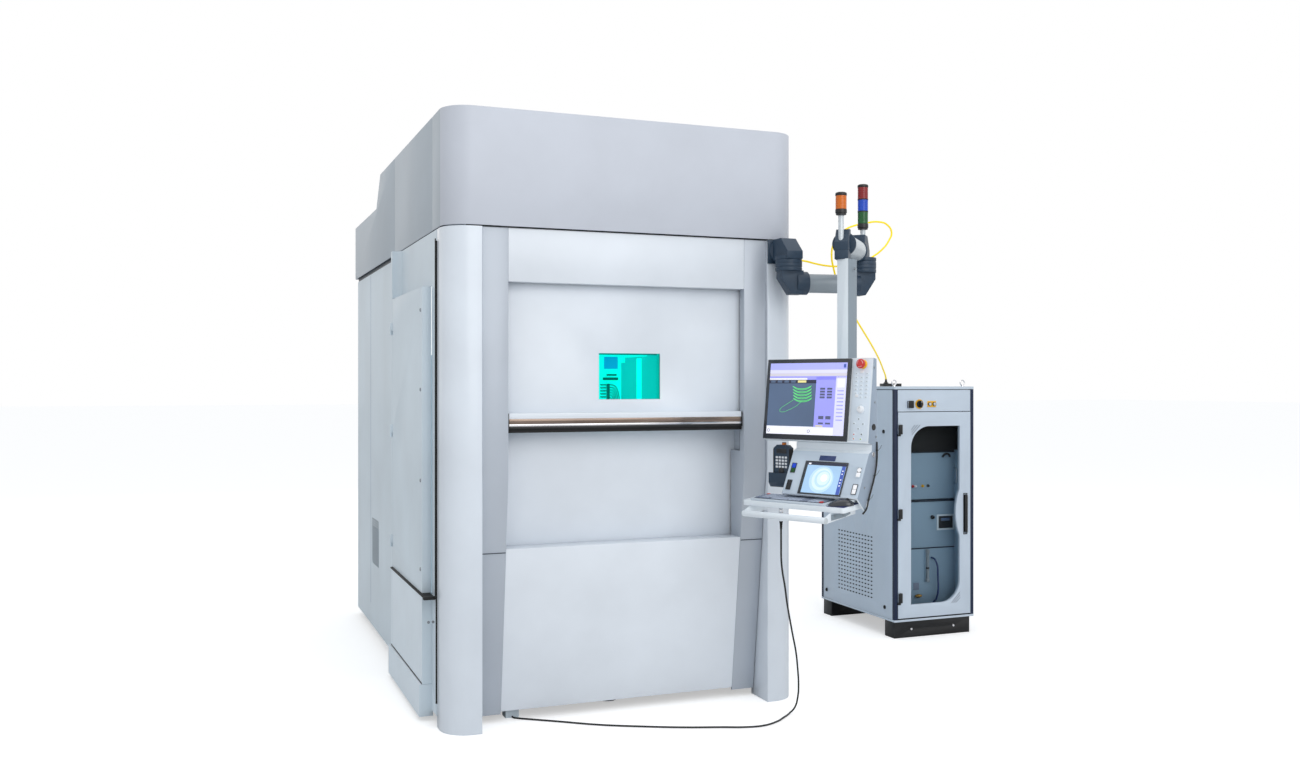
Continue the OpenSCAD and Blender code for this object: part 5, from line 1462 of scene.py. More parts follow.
@dataclass
class Console(Assembly):
    """The operator's console: screen, control strip, desk, ports and pendant."""

    body = "carrier"
    strip_x: tuple[float, float] = (0.181, 0.268)
    screen_x: tuple[float, float] = (-0.231, 0.160)
    screen_up: tuple[float, float] = (0.024, 0.326)
    glass: float = 0.0126
    flank_x: float = 0.2733

    def build(self) -> None:
        """Dresses the housing and builds what it carries."""
        housing = self.cover("console_housing", CONSOLE_WHITE, "console_white", 0.0022)
        side = Place.POST.to_3x3() @ Vector((1.0, 0.0, 0.0))
        desk = Place.DESK.to_3x3() @ Vector((0.0, 0.0, 1.0))
        # Painted shade: faces turned to the console's right side take the darker flank finish.
        Bench.tinted(housing, FLANK_SHADE, lambda middle, normal: normal.dot(side) > 0.9)
        # Painted shade: faces on the sloping desk's plane take the darker desk finish.
        Bench.tinted(housing, DESK_SHADE, lambda middle, normal: normal.dot(desk) > 0.97)
        self.cover("monitor", BEZEL, "screen", 0.003, 3)
        self.cover("lower_display", BEZEL, "screen_blue", 0.0012)
        self.screen()
        self.small_screen()
        self.strip()
        self.stop()
        self.knob()
        self.desk()
        self.flank()
        self.pendant()

    def field(self, u0: float, v0: float, u1: float, v1: float, finish: Finish,
              layer: int = 1) -> Tile:
        """Places a field on the screen by shares of its width and height.

        Args:
            u0: its left side, as a share from the left.
            v0: its top, as a share from the top.
            u1: its right side.
            v1: its foot.
            finish: its finish.
            layer: how many layers lie under it.

        Returns:
            The field.
        """
        x, up = self.screen_x, self.screen_up
        wide, tall = x[1] - x[0], up[1] - up[0]
        return Tile(x[0] + u0 * wide, up[1] - v1 * tall, x[0] + u1 * wide, up[1] - v0 * tall,
                    finish, self.glass + 0.0002 * layer)

    def screen(self) -> None:
        """Draws a plain machine view on the screen: bars, a work piece and two columns."""
        f = self.field
        tiles = [f(0.0, 0.0, 1.0, 1.0, UI_WHITE, 0), f(0.0, 0.0, 1.0, 0.095, UI_LAVENDER),
                 f(0.955, 0.02, 0.985, 0.07, UI_BLUE, 2), f(0.0, 0.095, 1.0, 0.14, UI_LIGHT),
                 f(0.0, 0.14, 1.0, 0.185, UI_BEIGE), f(0.0, 0.185, 1.0, 0.21, UI_PURPLE),
                 f(0.0, 0.21, 0.5, 0.235, UI_WHITE), f(0.5, 0.21, 0.87, 0.235, UI_PURPLE),
                 f(0.0, 0.235, 0.62, 0.285, UI_DARK), f(0.38, 0.243, 0.49, 0.275, UI_YELLOW, 2),
                 f(0.0, 0.285, 0.62, 0.887, UI_SLATE), f(0.62, 0.19, 0.87, 0.89, UI_PURPLE),
                 f(0.87, 0.19, 1.0, 1.0, UI_LIGHT), f(0.89, 0.22, 0.98, 0.34, UI_WHITE, 2),
                 f(0.0, 0.89, 0.87, 1.0, UI_WHITE)]
        tiles += [f(0.02 + 0.09 * i, 0.243, 0.08 + 0.09 * i, 0.275, UI_SLATE, 2)
                  for i in range(4)]
        for v, tall in ((0.345, 0.028), (0.385, 0.028), (0.425, 0.028), (0.465, 0.028),
                        (0.735, 0.045), (0.825, 0.024)):
            tiles += [f(u, v, u + 0.065, v + tall, UI_CHIP, 2) for u in (0.675, 0.765)]
        tiles.append(f(0.645, 0.866, 0.735, 0.882, UI_YELLOW, 2))
        tiles += [f(0.895, 0.38 + 0.05 * i, 0.975, 0.394 + 0.05 * i, UI_PURPLE, 2)
                  for i in range(9)]
        self.fit(Bench.mosaic("screen_view", tiles, Place.SCREEN), None, "screen")
        self.work_piece()
        rings = []
        for u in (0.03, 0.56):
            spot = f(u, 0.93, u + 0.02, 0.95, UI_DARK)
            rings.append(Bench.hoop("screen_mark", (spot.left, spot.low, self.glass + 0.0007),
                                    0.006, 0.0007, at=Place.SCREEN))
        self.fit(Bench.merged(rings, "screen_marks"), UI_DARK, "screen")

    def work_piece(self) -> None:
        """Draws the green work piece: a wound barrel and the path that leads to it."""
        x, up = self.screen_x, self.screen_up
        wide, tall = x[1] - x[0], up[1] - up[0]

        def spot(u: float, v: float) -> Point:
            """Turns shares of the screen into a place just over it."""
            return (x[0] + u * wide, up[1] - v * tall, self.glass + 0.0008)

        lines = []
        for turn in range(10):
            v = 0.325 + (turn // 2) * 0.042 + (turn % 2) * 0.015
            side = 0.122 - 0.010 * (turn % 2)
            middle = 0.440 + 0.002 * turn
            sag = 0.036
            lines.append([spot(middle - side, v), spot(middle - side * 0.55, v + sag * 0.8),
                          spot(middle, v + sag), spot(middle + side * 0.55, v + sag * 0.7),
                          spot(middle + side, v - 0.006)])
        lines.append([spot(0.36, 0.50), spot(0.26, 0.575), spot(0.17, 0.65), spot(0.165, 0.675),
                      spot(0.20, 0.69), spot(0.28, 0.66), spot(0.37, 0.61), spot(0.41, 0.575),
                      spot(0.45, 0.53)])
        wires = [Bench.hose("work_piece", line, 0.0014 if index < 10 else 0.0008, 4)
                 for index, line in enumerate(lines)]
        piece = Bench.merged(wires, "screen_work_piece")
        piece.data.transform(Place.SCREEN)
        self.fit(piece, UI_GREEN, "screen")

    def small_screen(self) -> None:
        """Draws the desk screen: a title bar, a light swirl and a side column."""
        left, right, low, high = -0.016, 0.190, 0.005, 0.148
        base = 0.0042
        tiles = [Tile(left + 0.014, low + 0.004, right - 0.004, high - 0.004, UI_SKY, base),
                 Tile(left + 0.012, high - 0.016, right - 0.004, high - 0.004, UI_DARK,
                      base + 0.0002),
                 Tile(left + 0.018, high - 0.014, left + 0.030, high - 0.007, UI_WHITE,
                      base + 0.0004),
                 Tile(right - 0.022, low + 0.004, right - 0.005, high - 0.016, UI_BLUE,
                      base + 0.0004)]
        tiles += [Tile(right - 0.017, up, right - 0.011, up + 0.005, UI_WHITE, base + 0.0006)
                  for up in (0.045, 0.058, 0.071, 0.096, 0.109)]
        self.fit(Bench.mosaic("desk_screen_view", tiles, Place.DESK), None, "screen_blue")
        rings = []
        for step, (radius, finish) in enumerate(((0.058, RING_SKY), (0.048, RING_PALE),
                                                 (0.038, RING_SKY), (0.030, RING_PALE),
                                                 (0.016, UI_WHITE))):
            middle = (left + 0.098 + 0.003 * step, low + 0.064 + 0.002 * step,
                      base + 0.0004 + 0.0001 * step)
            rings.append((Bench.disc("desk_swirl", middle, radius, 0.0002, at=Place.DESK,
                                     sides=48), finish))
        self.group("desk_screen_swirl", rings, "screen_blue")

    def strip(self) -> None:
        """Builds the control strip: foil, keys and indicator dots."""
        x0, x1 = self.strip_x
        self.bars("control_foil", [((x0, 0.006, 0.0), (x1, 0.337, 0.0009))], 0.0006, FOIL,
                  "console_white", at=Place.SCREEN)
        spots = [(x, up) for up in (0.185, 0.201, 0.217, 0.233, 0.249, 0.265, 0.281)
                 for x in (0.199, 0.224, 0.249)
                 if (x, up) not in ((0.199, 0.185), (0.224, 0.281))]
        for name, span, edge, places, finish in (
                ("strip_keys", ((-0.0085, -0.0055, 0.0), (0.0085, 0.0055, 0.0016)), 0.0008,
                 [(*spot, 0.0007) for spot in spots], FOIL_KEY),
                ("strip_marks", ((-0.003, -0.0008, 0.0), (0.003, 0.0008, 0.0005)), 0.0002,
                 [(*spot, 0.0022) for spot in spots], FOIL_MARK),
                ("bright_keys", ((-0.008, -0.006, 0.0), (0.008, 0.006, 0.0022)), 0.001,
                 [(0.206, 0.190, 0.0007), (0.224, 0.288, 0.0007)], KEY_WHITE)):
            self.array(name, span, edge, places, finish, "keys", Place.SCREEN)
        dots = []
        for x, up, finish in ((0.223, 0.096, FOIL_MARK), (0.202, 0.077, FOIL_MARK),
                              (0.244, 0.076, FOIL_MARK), (0.223, 0.056, FOIL_MARK),
                              (0.204, 0.033, STOP_RED), (0.240, 0.034, BUTTON_BLACK),
                              (0.204, 0.015, ORANGE), (0.237, 0.014, UI_LIME)):
            for z, radius, depth, sides, color in ((0.0014, 0.0068, 0.0022, 24, FOIL_KEY),
                                                   (0.0028, 0.0026, 0.0012, 16, finish)):
                dots.append((Bench.disc("strip_dot", (x, up, z), radius, depth,
                                        at=Place.SCREEN, sides=sides), color))
        self.group("strip_dots", dots, "keys")

    def stop(self) -> None:
        """Builds the red stop head with its rings and the yellow collar below it."""
        at = Place.SCREEN @ Matrix.Translation((0.228, 0.319, 0.0))
        low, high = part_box("emergency_stop")
        head = [(0.0075, 0.0125), (0.0120, 0.0145), (0.0172, 0.0170), (0.0197, 0.0192),
                (0.0200, 0.0228), (0.0190, 0.0262), (0.0160, 0.0280), (0.0100, 0.0288),
                (0.0050, 0.0290)]
        obj = Bench.turned("stop_button", head, at, 40)
        stem = Bench.turned("stop_button", [(0.0059, -0.018), (0.0059, 0.0135)], at, 24)
        self.fit(Bench.merged([obj, stem], "stop_button"), STOP_RED, "stop_red", "stop_head",
                 ["emergency_stop"])
        arrows = []
        for turn in range(3):
            angles = [math.radians(120 * turn + 18 * i) for i in range(5)]
            arrows.append(Bench.hose("stop_arrow", [(0.0135 * math.cos(a), 0.0135 * math.sin(a),
                                                     0.0282) for a in angles], 0.0006, 3, at))
        self.fit(Bench.merged(arrows, "stop_arrows"), KEY_WHITE, "stop_red", "stop_head")
        collar = [(0.0070, 0.0002), (0.0185, 0.0002), (0.0185, 0.0012), (0.0165, 0.0055),
                  (0.0150, 0.0068), (0.0070, 0.0068)]
        self.lathe("stop_collar", collar, at, 40, STOP_YELLOW, "switch_yellow")
        LOG.info("Console: stop from %.3f to %.3f", low.z, high.z)

    def knob(self) -> None:
        """Builds the override knob: a ribbed skirt, a domed cap and its pointer."""
        at = Place.SCREEN @ Matrix.Translation((0.229, 0.135, 0.0))
        body = Bench.turned("rate_knob", [(0.0090, 0.0012), (0.0152, 0.0012), (0.0158, 0.0022),
                                          (0.0142, 0.0036), (0.0128, 0.0110), (0.0118, 0.0136),
                                          (0.0092, 0.0150), (0.0040, 0.0154)], at, 40)
        rib = Bench.block("rate_rib", (-0.0006, 0.0122, 0.0042), (0.0006, 0.0136, 0.0108), 0.0004)
        ribs = []
        for turn in range(20):
            copy = Bench.linked("rate_rib", rib.data.copy())
            copy.data.transform(at @ Matrix.Rotation(math.radians(18 * turn), 4, "Z"))
            ribs.append(copy)
        bpy.data.objects.remove(rib)
        stem = Bench.turned("rate_stem", [(0.0059, -0.0195), (0.0059, 0.0016)], at, 24)
        self.fit(Bench.merged([body, stem, *ribs], "rate_knob"), KEY_WHITE, "knob_white", "knob",
                 ["override_knob"])
        self.bars("rate_pointer", [((-0.0008, 0.0018, 0.0148), (0.0008, 0.0108, 0.0156))],
                  0.0003, BUTTON_BLACK, "knob_white", "knob", at)
        angles = [math.radians(-140 + 28 * turn) for turn in range(11)]
        ticks = [(0.229 + 0.019 * math.sin(a), 0.135 + 0.019 * math.cos(a), 0.0) for a in angles]
        dot = Bench.disc("rate_scale", (0.0, 0.0, 0.0011), 0.0008, 0.0008, sides=12)
        self.fit(Bench.copies(dot, "rate_scale", ticks, Place.SCREEN), FOIL_MARK, "keys")

    def desk(self) -> None:
        """Builds the desk's blue plate and its four twin buttons with their frames."""
        self.bars("desk_plate", [((0.044, 0.1545, 0.0), (0.123, 0.177, 0.0016))], 0.0008,
                  PLATE_BLUE, "navy", at=Place.DESK)
        for index, (x, up, top, foot, frame) in enumerate((
                (-0.071, 0.115, BUTTON_BLUE, BUTTON_GREEN, BLACK),
                (-0.071, 0.039, BUTTON_BLACK, BUTTON_BLACK, BLACK),
                (0.250, 0.111, BUTTON_WHITE, BUTTON_WHITE, SIDE),
                (0.250, 0.038, BUTTON_WHITE, BUTTON_WHITE, BLACK)), 1):
            at = Place.DESK @ Matrix.Translation((x, up, 0.0))
            self.bars(f"twin_frame_{index}", [((x0, y0, 0.0014), (x1, y1, 0.0042))
                                              for x0, y0, x1, y1 in (
                                                  (-0.0116, -0.0222, 0.0116, -0.0202),
                                                  (-0.0116, 0.0202, 0.0116, 0.0222),
                                                  (-0.0116, -0.0202, -0.0097, 0.0202),
                                                  (0.0097, -0.0202, 0.0116, 0.0202))],
                      0.0006, frame, "black", at=at)
            halves = []
            for low, high, finish in ((-0.0194, -0.0006, foot), (0.0006, 0.0194, top)):
                if index == 3 and finish is top and low > 0:
                    half = Bench.turned("half", [(0.0088, -0.0035), (0.0088, 0.0048),
                                                 (0.0080, 0.0054), (0.0066, 0.0056)],
                                        at @ Matrix.Translation((0.0, 0.0100, 0.0)), 32)
                else:
                    half = Bench.block("half", (-0.0089, low, -0.0038), (0.0089, high, 0.0046),
                                       0.0011, at)
                halves.append((half, finish))
            halves.append((Bench.block("half", (-0.0086, -0.0190, -0.0038),
                                       (0.0086, 0.0190, 0.0022), 0.0008, at), BUTTON_BLACK))
            slot = "button_blue" if index == 1 else "black" if index == 2 else "button_white"
            self.group(f"twin_buttons_{index}", halves, slot, f"twin_{'abcd'[index - 1]}",
                       [f"twin_button_{index}"])

    def flank(self) -> None:
        """Adds the right flank's port, key switch and conduit with its ties."""
        x = self.flank_x
        for name, spot, radius, depth, finish, slot in (
                ("port", (x, -0.222, 1.300), 0.013, 0.004, BLACK, "black"),
                ("key_switch", (x, -0.226, 1.190), 0.010, 0.006, CHROME, "bright")):
            self.fit(Bench.disc(name, spot, radius, depth, "X", at=Place.POST), finish, slot)
        self.bars("key_slit", [((x + 0.0028, -0.2268, 1.184), (x + 0.0036, -0.2252, 1.196))],
                  0.0003, BLACK, "black", at=Place.POST)
        route = ((x + 0.001, -0.200, 1.240), (x + 0.004, -0.203, 1.205), (x + 0.005, -0.207, 1.159),
                 (x + 0.005, -0.222, 1.105), (x + 0.005, -0.248, 1.050), (x + 0.005, -0.268, 1.010),
                 (x + 0.004, -0.285, 0.972), (x - 0.004, -0.297, 0.955))
        self.fit(Bench.hose("conduit", route, 0.0035, 6, Place.POST), LEAD, "rubber")
        ties = []
        for index in (1, 3, 5):
            px, py, pz = route[index]
            ties.append(Bench.hoop("cable_tie", (px, py, pz), 0.0046, 0.0012,
                                   (math.radians(20), 0.0, 0.0), Place.POST))
            ties.append(Bench.hose("cable_tie", ((px + 0.002, py, pz), (px + 0.006, py + 0.012,
                                   pz + 0.008), (px + 0.008, py + 0.022, pz + 0.022)), 0.0008, 3,
                                   Place.POST))
        self.fit(Bench.merged(ties, "cable_ties"), BLACK, "rubber")
        self.screws("flank_screws", [(x - 0.0002, y, z) for y, z in (
            (-0.215, 1.540), (-0.205, 1.260), (-0.290, 1.060), (-0.214, 1.400))], 0.0045, "X",
                    Place.POST)
        low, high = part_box("console_housing")
        # Painted shade: dark slats stand for the shade inside the vent's openings.
        spots = [(px, -0.1918, 1.265 + 0.012 * i) for px in (-0.15, 0.17) for i in range(14)]
        self.array("console_vent", ((-0.05, -0.003, -0.0016), (0.05, 0.0008, 0.0016)), 0.001,
                   spots, GAP_SHADE, "rubber", Place.POST)
        LOG.info("Console: housing from %.3f to %.3f", low.z, high.z)

    def pendant(self) -> None:
        """Dresses the hand unit: keys, display, grips, handwheel and plug."""
        self.cover("pendant", SLATE, "pendant_grey", 0.003)
        at = Place.POST @ Matrix.Translation((-0.187, -0.2212, 0.0)) @ Place.FRONT
        spots = [(-0.024 + 0.016 * column, 1.118 + 0.0135 * row, 0.0) for column in range(4)
                 for row in range(4)]
        self.array("pendant_keys", ((-0.0058, -0.0045, 0.0), (0.0058, 0.0045, 0.0022)), 0.001,
                   spots, KEY_WHITE, "keys", at)
        self.bars("pendant_display", [((-0.026, 1.176, 0.0), (0.026, 1.196, 0.0016))], 0.001,
                  BUTTON_BLACK, "black", at=at)
        self.bars("pendant_grips", [((x, 1.085, -0.027), (x + 0.0055, 1.195, 0.0015))
                                    for x in (-0.0445, 0.039)], 0.0025, RUBBER, "rubber", at=at)
        self.lathe("pendant_wheel", [(0.0125, 0.0), (0.0135, 0.001), (0.0135, 0.0035),
                                     (0.0115, 0.0048), (0.0040, 0.0050)],
                   at @ Matrix.Translation((0.0, 1.1015, 0.0)), 36, BUTTON_BLACK, "black")
        self.lathe("pendant_plug", [(0.0092, 1.2085), (0.0096, 1.2105), (0.0096, 1.2205),
                                    (0.0080, 1.2228)],
                   Place.POST @ Matrix.Translation((-0.183, -0.207, 0.0)), 28, ORANGE,
                   "switch_yellow")


@dataclass
class Tray(Assembly):
    """The keyboard tray with its rail, keyboard, mat and mouse."""

    body = "carrier"
    pitch: float = 0.019

    def build(self) -> None:
        """Dresses the tray and builds the keyboard and the mouse."""
        self.cover("tray", CONSOLE_WHITE, "console_white", 0.0010)
        self.keyboard()
        self.mouse()
        self.fittings()

    def keyboard(self) -> None:
        """Builds the keyboard: its case, the darker bed and rows of tapered keys."""
        at = Place.TRAY @ Matrix.Translation((-0.223, 0.008, 0.0003))
        case = Bench.block("keyboard", (0.0, 0.0, 0.0), (0.376, 0.124, 0.0085), 0.0028, at, 3)
        bed = Bench.block("keyboard", (0.0115, 0.0105, 0.0080), (0.3575, 0.1095, 0.0094), 0.0012,
                          at)
        self.group("keyboard", [(case, CASE_GREY), (bed, KEY_BED)], "keys",
                   stands_for=["keyboard"])
        key = Bench.block("keys", (-0.0080, -0.0080, 0.0), (0.0080, 0.0080, 0.0052), 0.0022)
        for vert in key.data.vertices:
            if vert.co.z > 0.004:
                vert.co.x *= 0.86
                vert.co.y *= 0.86
        white, grey, red = [], [], []
        for row in range(5):
            for column in range(18):
                if row == 0 and 4 <= column <= 8:
                    continue
                spot = (0.023 + column * self.pitch, 0.022 + row * self.pitch, 0.0090)
                if (row, column) in ((4, 0), (0, 17)):
                    red.append(spot)
                elif column in (0, 12, 13) or (row == 0 and column < 4) or column == 17:
                    grey.append(spot)
                else:
                    white.append(spot)
        space = [(0.023 + 6 * self.pitch, 0.022, 0.0090, 5.4, 1.0, 1.0)]
        # Painted shade: the white keys take the greyer key-top finish.
        for name, spots, finish in (("keys_white", white + space, KEY_TOP_SHADE),
                                    ("keys_grey", grey, KEY_GREY), ("keys_red", red, KEY_RED)):
            twin = Bench.linked(name, key.data.copy())
            self.fit(Bench.copies(twin, name, spots, at), finish, "keys")
        bpy.data.objects.remove(key)

    def mouse(self) -> None:
        """Builds the mouse with its wheel, on a blue mat."""
        self.bars("mouse_mat", [((0.160, 0.008, 0.0001), (0.243, 0.128, 0.0014))], 0.0006,
                  MAT_BLUE, "navy", at=Place.TRAY)
        at = Place.TRAY @ Matrix.Translation((0.206, 0.046, 0.0016)) @ Matrix.Rotation(
            math.radians(-62), 4, "Z")
        Bench.clear()
        bpy.ops.mesh.primitive_uv_sphere_add(segments=40, ring_count=24, radius=1.0)
        shell = bpy.context.object
        for vert in shell.data.vertices:
            x, y, z = vert.co
            waist = 1.0 - 0.12 * math.cos(y * math.pi)
            crown = 0.88 + 0.12 * math.sin(y * 1.4)
            vert.co = (x * 0.0285 * waist, y * 0.0510,
                       max(0.0, z) * 0.0300 * crown)
        with editing():
            bpy.ops.mesh.remove_doubles(threshold=Bench.WELD)
            bpy.ops.mesh.normals_make_consistent(inside=False)
        shell = Bench.seal(shell, "mouse", at, 40.0)
        self.fit(shell, BEZEL, "black", stands_for=["mouse"])
        wheel = Bench.disc("mouse_wheel", (0.0, 0.026, 0.0235), 0.0058, 0.0055, "X", at=at,
                           sides=24)
        self.fit(wheel, RUBBER, "rubber")

    def fittings(self) -> None:
        """Adds the rail's end caps, the side bracket with its screws and the connector."""
        rail_y, rail_z = -0.430, 0.9325
        caps = [Bench.disc("rail_cap", (x, rail_y, rail_z), 0.0126, 0.006, "X", 0.0015,
                           at=Place.POST) for x in (-0.2292, 0.1842)]
        self.fit(Bench.merged(caps, "rail_caps"), DRUM_GREY, "bright")
        plate = Bench.prism("side_bracket", [(-0.395, 0.931), (-0.300, 0.938), (-0.262, 0.948),
                                             (-0.262, 0.958), (-0.300, 0.955), (-0.395, 0.955)],
                            0.003, 0.0008,
                            Place.POST @ Matrix.Translation((0.1862, 0.0, 0.0))
                            @ Matrix.Rotation(math.radians(90), 4, "Z")
                            @ Matrix.Rotation(math.radians(90), 4, "X"))
        self.fit(plate, POST_DARK_AND_SHADE, "post_grey")
        self.screws("bracket_screws", [(0.1892, y, 0.9465) for y in (-0.375, -0.315)], 0.004,
                    "X", Place.POST)
        at = Place.POST @ Matrix.Translation((-0.122, -0.312, 0.0))
        self.lathe("lead_connector", [
            (0.0075, 0.8985), (0.0088, 0.9000), (0.0088, 0.9240), (0.0078, 0.9260),
            (0.0078, 0.9300), (0.0095, 0.9320), (0.0095, 0.9520), (0.0085, 0.9540),
            (0.0085, 0.9690)], at, 32, CHROME, "bright")


@dataclass
class LaserCabinet(Assembly):
    """The source cabinet: frame, panels, glazed door and the modules behind it."""

    width: float = 0.550
    depth: float = 0.835
    height: float = 1.459
    lid: float = 0.016
    base: float = 0.108
    door_face: float = -0.5045
    frame_face: float = -0.5035
    module_y: float = 0.1098
    bay: tuple[float, float] = (0.029, 0.521)

    def build(self) -> None:
        """Dresses the cabinet and builds its door, modules and fittings."""
        self.frame()
        self.cover("cab_panels", PALE_BLUE, "pale_blue", 0.0008)
        door = self.cover("cab_door", PALE_BLUE, "pale_blue", 0.0014, 2, "cabinet_door")
        Bench.tinted(door, BLACK, lambda middle, normal: middle.y < self.door_face
                     and middle.x < Place.CABINET.translation.x + 0.050)
        self.paint("cab_window", SMOKED_GLASS)
        self.cover("cab_handle", BLACK, "black", 0.0030, 3, "cabinet_handle")
        self.cover("cab_plinth", BLACK, "black", 0.0016)
        self.cover("cab_modules", MODULE, "module_steel", 0.0020)
        self.door_trim()
        self.locks()
        self.head()
        self.controls()
        self.lower_bays()

    def frame(self) -> None:
        """Rounds the frame and gives its lid, base and lifting eyes their own finish."""
        obj = Bench.softened("cab_frame", 0.0012)
        self.fit(obj, NAVY, "navy", stands_for=["cab_frame"])
        proud, inset, lid_foot = 0.0006, 0.003, self.height - self.lid
        Bench.tinted(obj, CHROME, lambda middle, normal: middle.z > self.height + proud)
        Bench.tinted(obj, BLACK, lambda middle, normal: middle.y < self.frame_face
                     or middle.z > self.height + proud and middle.y > -0.38
                     and middle.x < Place.CABINET.translation.x + 0.14)
        for name, spans, edge, finish, slot in (
                ("cabinet_caps", [((-proud, -proud, low),
                                   (self.width + proud, self.depth + proud, high))
                                  for low, high in ((lid_foot, self.height + proud),
                                                    (self.base - 0.0125, self.base))],
                 0.0010, LID_GREY, "pale_blue"),
                # Painted shade behind the cabinet's side vent.
                ("vent_back_shade", [((0.006, 0.236, 0.190), (0.008, 0.633, 0.566))], 0.0008,
                 GAP_SHADE, "dark_iron"),
                # Painted shade: a black sheet for the dark top of the bay behind the window.
                ("bay_top_shade", [((0.030, 0.112, 1.058), (0.520, 0.116, 1.340))], 0.0010,
                 RUBBER, "dark_iron"),
                # Painted shadow in the joint under the lid.
                ("lid_joint_shadow", [((inset, inset, lid_foot - 0.0032),
                                (self.width - inset, self.depth - inset, lid_foot - 0.0004))],
                 0.0008, GAP_SHADE, "rubber")):
            self.bars(name, spans, edge, finish, slot, at=Place.CABINET)

    def door_trim(self) -> None:
        """Adds the pressed lines at the window's corners, the hinge caps and the handle bed."""
        lines, y = [], -0.0024
        for index in range(3):
            step = 0.012 * index
            for (xa, za), (xb, zb) in (
                    ((0.112 + step * 0.2, 1.206 - step * 1.1), (0.137 + step * 1.5, 1.236)),
                    ((0.392 + step * 1.2, 0.184), (0.452, 0.244 - step * 1.4))):
                lines.append(Bench.hose("door_line", (
                    (xa, y, za), ((xa + xb) / 2, y, (za + zb) / 2), (xb, y, zb)), 0.0011, 3,
                    Place.CABINET))
        self.fit(Bench.merged(lines, "door_lines"), NAVY, "navy", "cabinet_door")
        for name, z in (("low", 0.236), ("middle", 0.722), ("high", 1.211)):
            self.bars(f"hinge_cap_{name}", [((0.0302, -0.0178, z - 0.028),
                                             (0.0448, -0.0015, z + 0.028))],
                      0.002, BLACK, "black", "cabinet_door", Place.CABINET)
        bars = [((0.4755, 0.588), (0.4785, 0.824)), ((0.5015, 0.588), (0.5045, 0.824)),
                ((0.4755, 0.584), (0.5045, 0.588)), ((0.4755, 0.824), (0.5045, 0.828))]
        self.bars("handle_bed", [((a[0], -0.0034, a[1]), (b[0], -0.0012, b[1]))
                                 for a, b in bars], 0.0006, BLACK, "black", "cabinet_door",
                  Place.CABINET)

    def locks(self) -> None:
        """Adds the quarter-turn locks of the sides and of the rear, a grille and screws."""
        sunk = 0.0008
        for name, spots, axis in (
                ("side_locks", [(sunk, 0.102, 0.168), (sunk, 0.771, 0.161),
                                (sunk, 0.114, 1.195), (sunk, 0.735, 1.195)], "-X"),
                ("far_side_locks", [(self.width - sunk, y, z) for z in (0.168, 1.300)
                                    for y in (0.102, 0.771)], "X"),
                ("rear_panel_locks", [(x, self.depth - sunk, z) for z in (0.20, 1.30)
                                      for x in (0.08, 0.47)], "Y")):
            self.screws(name, spots, 0.011, axis, Place.CABINET, BLACK, "black")
        # Painted shade: dark slats stand for the shade inside the grille's openings.
        spots = [(0.275, self.depth - sunk, 0.30 + 0.016 * row) for row in range(16)]
        self.array("cabinet_grille", ((-0.16, -0.001, -0.003), (0.16, 0.004, 0.003)), 0.0015,
                   spots, GAP_SHADE, "rubber", Place.CABINET)
        self.screws("plinth_screws", [(x, 0.0135, 0.0475) for x in (0.124, 0.416)], 0.007, "-Y",
                    Place.CABINET, CHROME)

    def head(self) -> None:
        """Builds the head panel's switch, black cover, key plate and keys, and the gland."""
        switch_z = self.height - 0.102
        at = Place.panel(0.169, 0.0, switch_z)
        self.lathe("switch_plate", [(0.0272, 0.0002), (0.0278, 0.0010), (0.0278, 0.0022),
                                    (0.0268, 0.0030), (0.0266, 0.0030)], at, 40, STOP_YELLOW,
                   "switch_yellow")
        disc = Bench.turned("main_switch", [(0.0059, -0.0190), (0.0059, 0.0036),
                                            (0.0200, 0.0040), (0.0215, 0.0055),
                                            (0.0210, 0.0100), (0.0195, 0.0115)], at, 40)
        grip = Bench.block("main_switch", (-0.0055, -0.0205, 0.0105), (0.0055, 0.0205, 0.0255),
                           0.0035, at, 3)
        self.group("main_switch", [(disc, BLACK), (grip, BLACK)], "switch_yellow",
                   "power_switch", ["main_switch"])
        self.bars("switch_mark", [((-0.0008, 0.008, 0.0252), (0.0008, 0.018, 0.0259))], 0.0003,
                  KEY_WHITE, "switch_yellow", "power_switch", at)
        black = Bench.block("head_cover", (0.0848, -0.0126, switch_z - 0.0242),
                            (0.1262, 0.0005, switch_z + 0.0212), 0.003, Place.CABINET, 3)
        self.fit(black, BLACK, "black")
        self.bars("key_plate", [((0.2218, -0.0044, switch_z - 0.0182),
                                 (0.2832, -0.0005, switch_z + 0.0182))], 0.0016, STOP_YELLOW,
                  "switch_yellow", at=Place.CABINET)
        for name, x in (("left", 0.237), ("right", 0.268)):
            spot = Place.panel(x, 0.0, switch_z)
            ring = Bench.turned("key_ring", [(0.0106, 0.0034), (0.0110, 0.0080), (0.0106, 0.0122),
                                             (0.0094, 0.0130), (0.0088, 0.0118)], spot, 32)
            core = Bench.turned("key_core", [(0.0062, 0.0100), (0.0062, 0.0136),
                                             (0.0054, 0.0142)], spot, 24)
            self.group(f"key_ring_{name}", [(ring, BLACK), (core, CHROME)], "black")
        self.lathe("cabinet_gland", [(0.0150, 0.0182), (0.0150, 0.0215), (0.0126, 0.0225),
                                     (0.0126, 0.0245), (0.0105, 0.0252)],
                   Place.CABINET @ Matrix.Translation((0.046, 0.160, self.height)), 6, BLACK,
                   "black")

